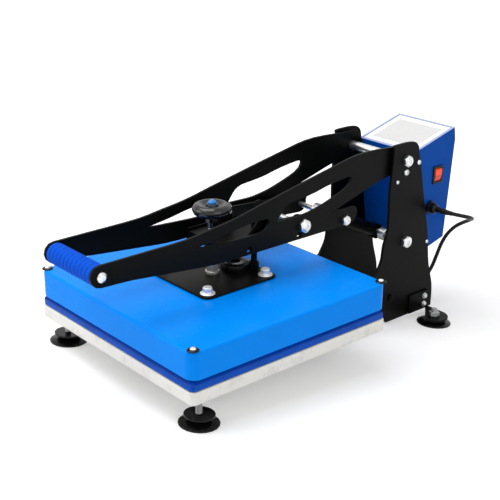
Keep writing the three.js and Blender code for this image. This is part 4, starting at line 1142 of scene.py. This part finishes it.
class HEATPRESS_OT_cord(bpy.types.Operator):
    """Lays the mains cord from the control box down to its coil behind the press"""

    bl_idname = "heat_press.cord"
    bl_label = "Cord"

    def execute(self, context):
        line = smooth_line(CORD_ROUTE + coil_points() + LEAD_ROUTE, CORD_SPACING)
        width = context.scene.heat_press_sizes.cord_width
        cord = self.tube("mains_cord", line, [1.0] * len(line), width / 2)
        length = sum((b - a).length for a, b in zip(line, line[1:]))
        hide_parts("power_cord", "cord_coil", "plug_lead")
        relief = self.strain_relief(line, width / 2)
        return {"FINISHED"}

    def tube(self, name, line, widths, radius):
        """A closed round tube along a line, with its width at each point as a share."""
        curve = bpy.data.curves.new(name, "CURVE")
        curve.dimensions = "3D"
        curve.bevel_depth = radius
        curve.bevel_resolution = 3
        curve.use_fill_caps = True
        spline = curve.splines.new("POLY")
        spline.points.add(len(line) - 1)
        for point, place, width in zip(spline.points, line, widths):
            point.co = (*place, 1)
            point.radius = width
        tube = bpy.data.objects.new(name, curve)
        bpy.context.scene.collection.objects.link(tube)
        select_only(tube)
        bpy.ops.object.convert(target="MESH")
        tube = bpy.context.object
        return lay(tube, name, Matrix.Identity(4), "frame", "cord_rubber", smooth=60)

    def strain_relief(self, line, radius):
        """A tapered boot over the cord's first stretch, with its flexing grooves."""
        fine_line = smooth_line(line[:RELIEF_POINTS], RELIEF_SPACING)
        first, last = RELIEF_GROOVED
        reach = 0.0
        points, widths = [], []
        for index, place in enumerate(fine_line):
            reach += (place - fine_line[index - 1]).length if index else 0.0
            share = reach / RELIEF_LENGTH
            if share > 1:
                break
            grooved = first < share < last and int(share * RELIEF_BANDS) % 2
            groove = RELIEF_GROOVE_SHARE if grooved else 0.0
            points.append(place)
            widths.append(RELIEF_START_SHARE - RELIEF_TAPER_SHARE * share - groove)
        return self.tube("strain_relief", points, widths, radius)


# Soft edges


class HEATPRESS_OT_edges(bpy.types.Operator):
    """Rounds the sharp edges of the rigid parts a little, and shades their curves smooth"""

    bl_idname = "heat_press.edges"
    bl_label = "Edges"

    def execute(self, context):
        width = context.scene.heat_press_sizes.edge
        for name, part in frame["nodes"].items():
            part.data.shade_smooth()
            weld = part.modifiers.new("weld", "WELD")
            weld.merge_threshold = SAME_POINT * MM
            flat = part.modifiers.new("flat", "DECIMATE")
            flat.decimate_type = "DISSOLVE"
            flat.angle_limit = math.radians(FLAT_ANGLE)
            bevel = part.modifiers.new("edge", "BEVEL")
            bevel.width = width * EDGE_SHARES.get(name, 1.0)
            bevel.segments = 2
            bevel.limit_method = "ANGLE"
            bevel.angle_limit = math.radians(ROUND_ANGLE)
            bevel.use_clamp_overlap = False
            split = part.modifiers.new("split", "EDGE_SPLIT")
            split.split_angle = math.radians(SPLIT_ANGLE)
            part.modifiers.new("normals", "WEIGHTED_NORMAL").keep_sharp = True
        return {"FINISHED"}


# Stage and panel


class HEATPRESS_OT_stage(bpy.types.Operator):
    """Sets the pale floor, the soft light and the camera"""

    bl_idname = "heat_press.stage"
    bl_label = "Stage"

    def execute(self, context):
        self.floor()
        self.world()
        for lamp in LAMPS:
            self.lamp(*lamp)
        self.camera()
        context.scene.view_settings.view_transform = "Standard"
        return {"FINISHED"}

    def floor(self):
        start()
        bpy.ops.mesh.primitive_plane_add(size=FLOOR_SIZE)
        floor = bpy.context.object
        floor.name = "floor"
        f = Finish("floor", Base_Color=(0.8, 0.8, 0.8), Roughness=0.9)
        seen = f.seen()
        x, y, _ = f.axes()
        far = ((x * x + y * y) ** 0.5).step(*FLOOR_FADE)
        glow = f.blend(far, *FLOOR_GLOW)
        f.set(Emission_Color=f.blend(seen, (0, 0, 0), glow), Emission_Strength=1.0)
        floor.data.materials.append(f.material)

    def world(self):
        """White to the camera and in reflections, and soft daylight on the pieces."""
        world = bpy.data.worlds.new("studio")
        bpy.context.scene.world = world
        world.use_nodes = True
        studio = Nodes(world.node_tree)
        levels = {"Value": studio.seen(), "To Min": DAYLIGHT, "To Max": 1.0}
        level = studio.node("ShaderNodeMapRange", inputs=levels)
        background = studio.tree.nodes["Background"]
        studio.feed(background.inputs["Strength"], level)
        studio.feed(background.inputs["Color"], (1, 1, 1))

    def lamp(self, name, place, size, power):
        light = bpy.data.lights.new(name, "AREA")
        light.size = size
        light.energy = power
        lamp = bpy.data.objects.new(name, light)
        lamp.location = place
        lamp.rotation_mode = "QUATERNION"
        lamp.rotation_quaternion = (Vector(LAMP_AIM) - Vector(place)).to_track_quat("-Z", "Y")
        bpy.context.scene.collection.objects.link(lamp)

    def camera(self):
        data = bpy.data.cameras.new("camera")
        data.lens = CAMERA_LENS
        data.sensor_width = CAMERA_SENSOR
        data.shift_x, data.shift_y = CAMERA_SHIFT
        camera = bpy.data.objects.new("camera", data)
        camera.location = CAMERA_PLACE
        camera.rotation_euler = [math.radians(angle) for angle in CAMERA_TURN]
        bpy.context.scene.collection.objects.link(camera)
        bpy.context.scene.camera = camera


class HEATPRESS_PT_pieces(bpy.types.Panel):
    """Lists what the heat press is dressed with"""

    bl_idname = "HEATPRESS_PT_pieces"
    bl_label = "Heat press"
    bl_space_type = "VIEW_3D"
    bl_region_type = "UI"
    bl_category = "Heat press"

    def draw(self, context):
        for title, group in (
            ("Colours", context.scene.heat_press_colours),
            ("Sizes", context.scene.heat_press_sizes),
        ):
            box = self.layout.box()
            box.label(text=title)
            for name in group.bl_rna.properties.keys():
                if name not in ("rna_type", "name"):
                    box.prop(group, name)
        for operator in OPERATORS:
            self.layout.operator(operator.bl_idname)


OPERATORS = (
    HEATPRESS_OT_finishes,
    HEATPRESS_OT_edges,
    HEATPRESS_OT_pad,
    HEATPRESS_OT_grip,
    HEATPRESS_OT_cover_screws,
    HEATPRESS_OT_upright_bolts,
    HEATPRESS_OT_shaft_heads,
    HEATPRESS_OT_box_screws,
    HEATPRESS_OT_strut,
    HEATPRESS_OT_gussets,
    HEATPRESS_OT_plate_cap,
    HEATPRESS_OT_cord,
    HEATPRESS_OT_stage,
)
CLASSES = (PressSizes, PressColours, *OPERATORS, HEATPRESS_PT_pieces)


def register():
    for cls in CLASSES:
        bpy.utils.register_class(cls)
    bpy.types.Scene.heat_press_sizes = bpy.props.PointerProperty(type=PressSizes)
    bpy.types.Scene.heat_press_colours = bpy.props.PointerProperty(type=PressColours)


def unregister():
    del bpy.types.Scene.heat_press_colours
    del bpy.types.Scene.heat_press_sizes
    for cls in reversed(CLASSES):
        bpy.utils.unregister_class(cls)


def main():
    register()
    bpy.ops.heat_press.finishes()
    bpy.ops.heat_press.edges()
    bpy.ops.heat_press.pad()
    bpy.ops.heat_press.grip()
    bpy.ops.heat_press.cover_screws()
    bpy.ops.heat_press.upright_bolts()
    bpy.ops.heat_press.shaft_heads()
    bpy.ops.heat_press.box_screws()
    bpy.ops.heat_press.strut()
    bpy.ops.heat_press.gussets()
    bpy.ops.heat_press.plate_cap()
    bpy.ops.heat_press.cord()
    bpy.ops.heat_press.stage()


if __name__ == "__main__":
    main()
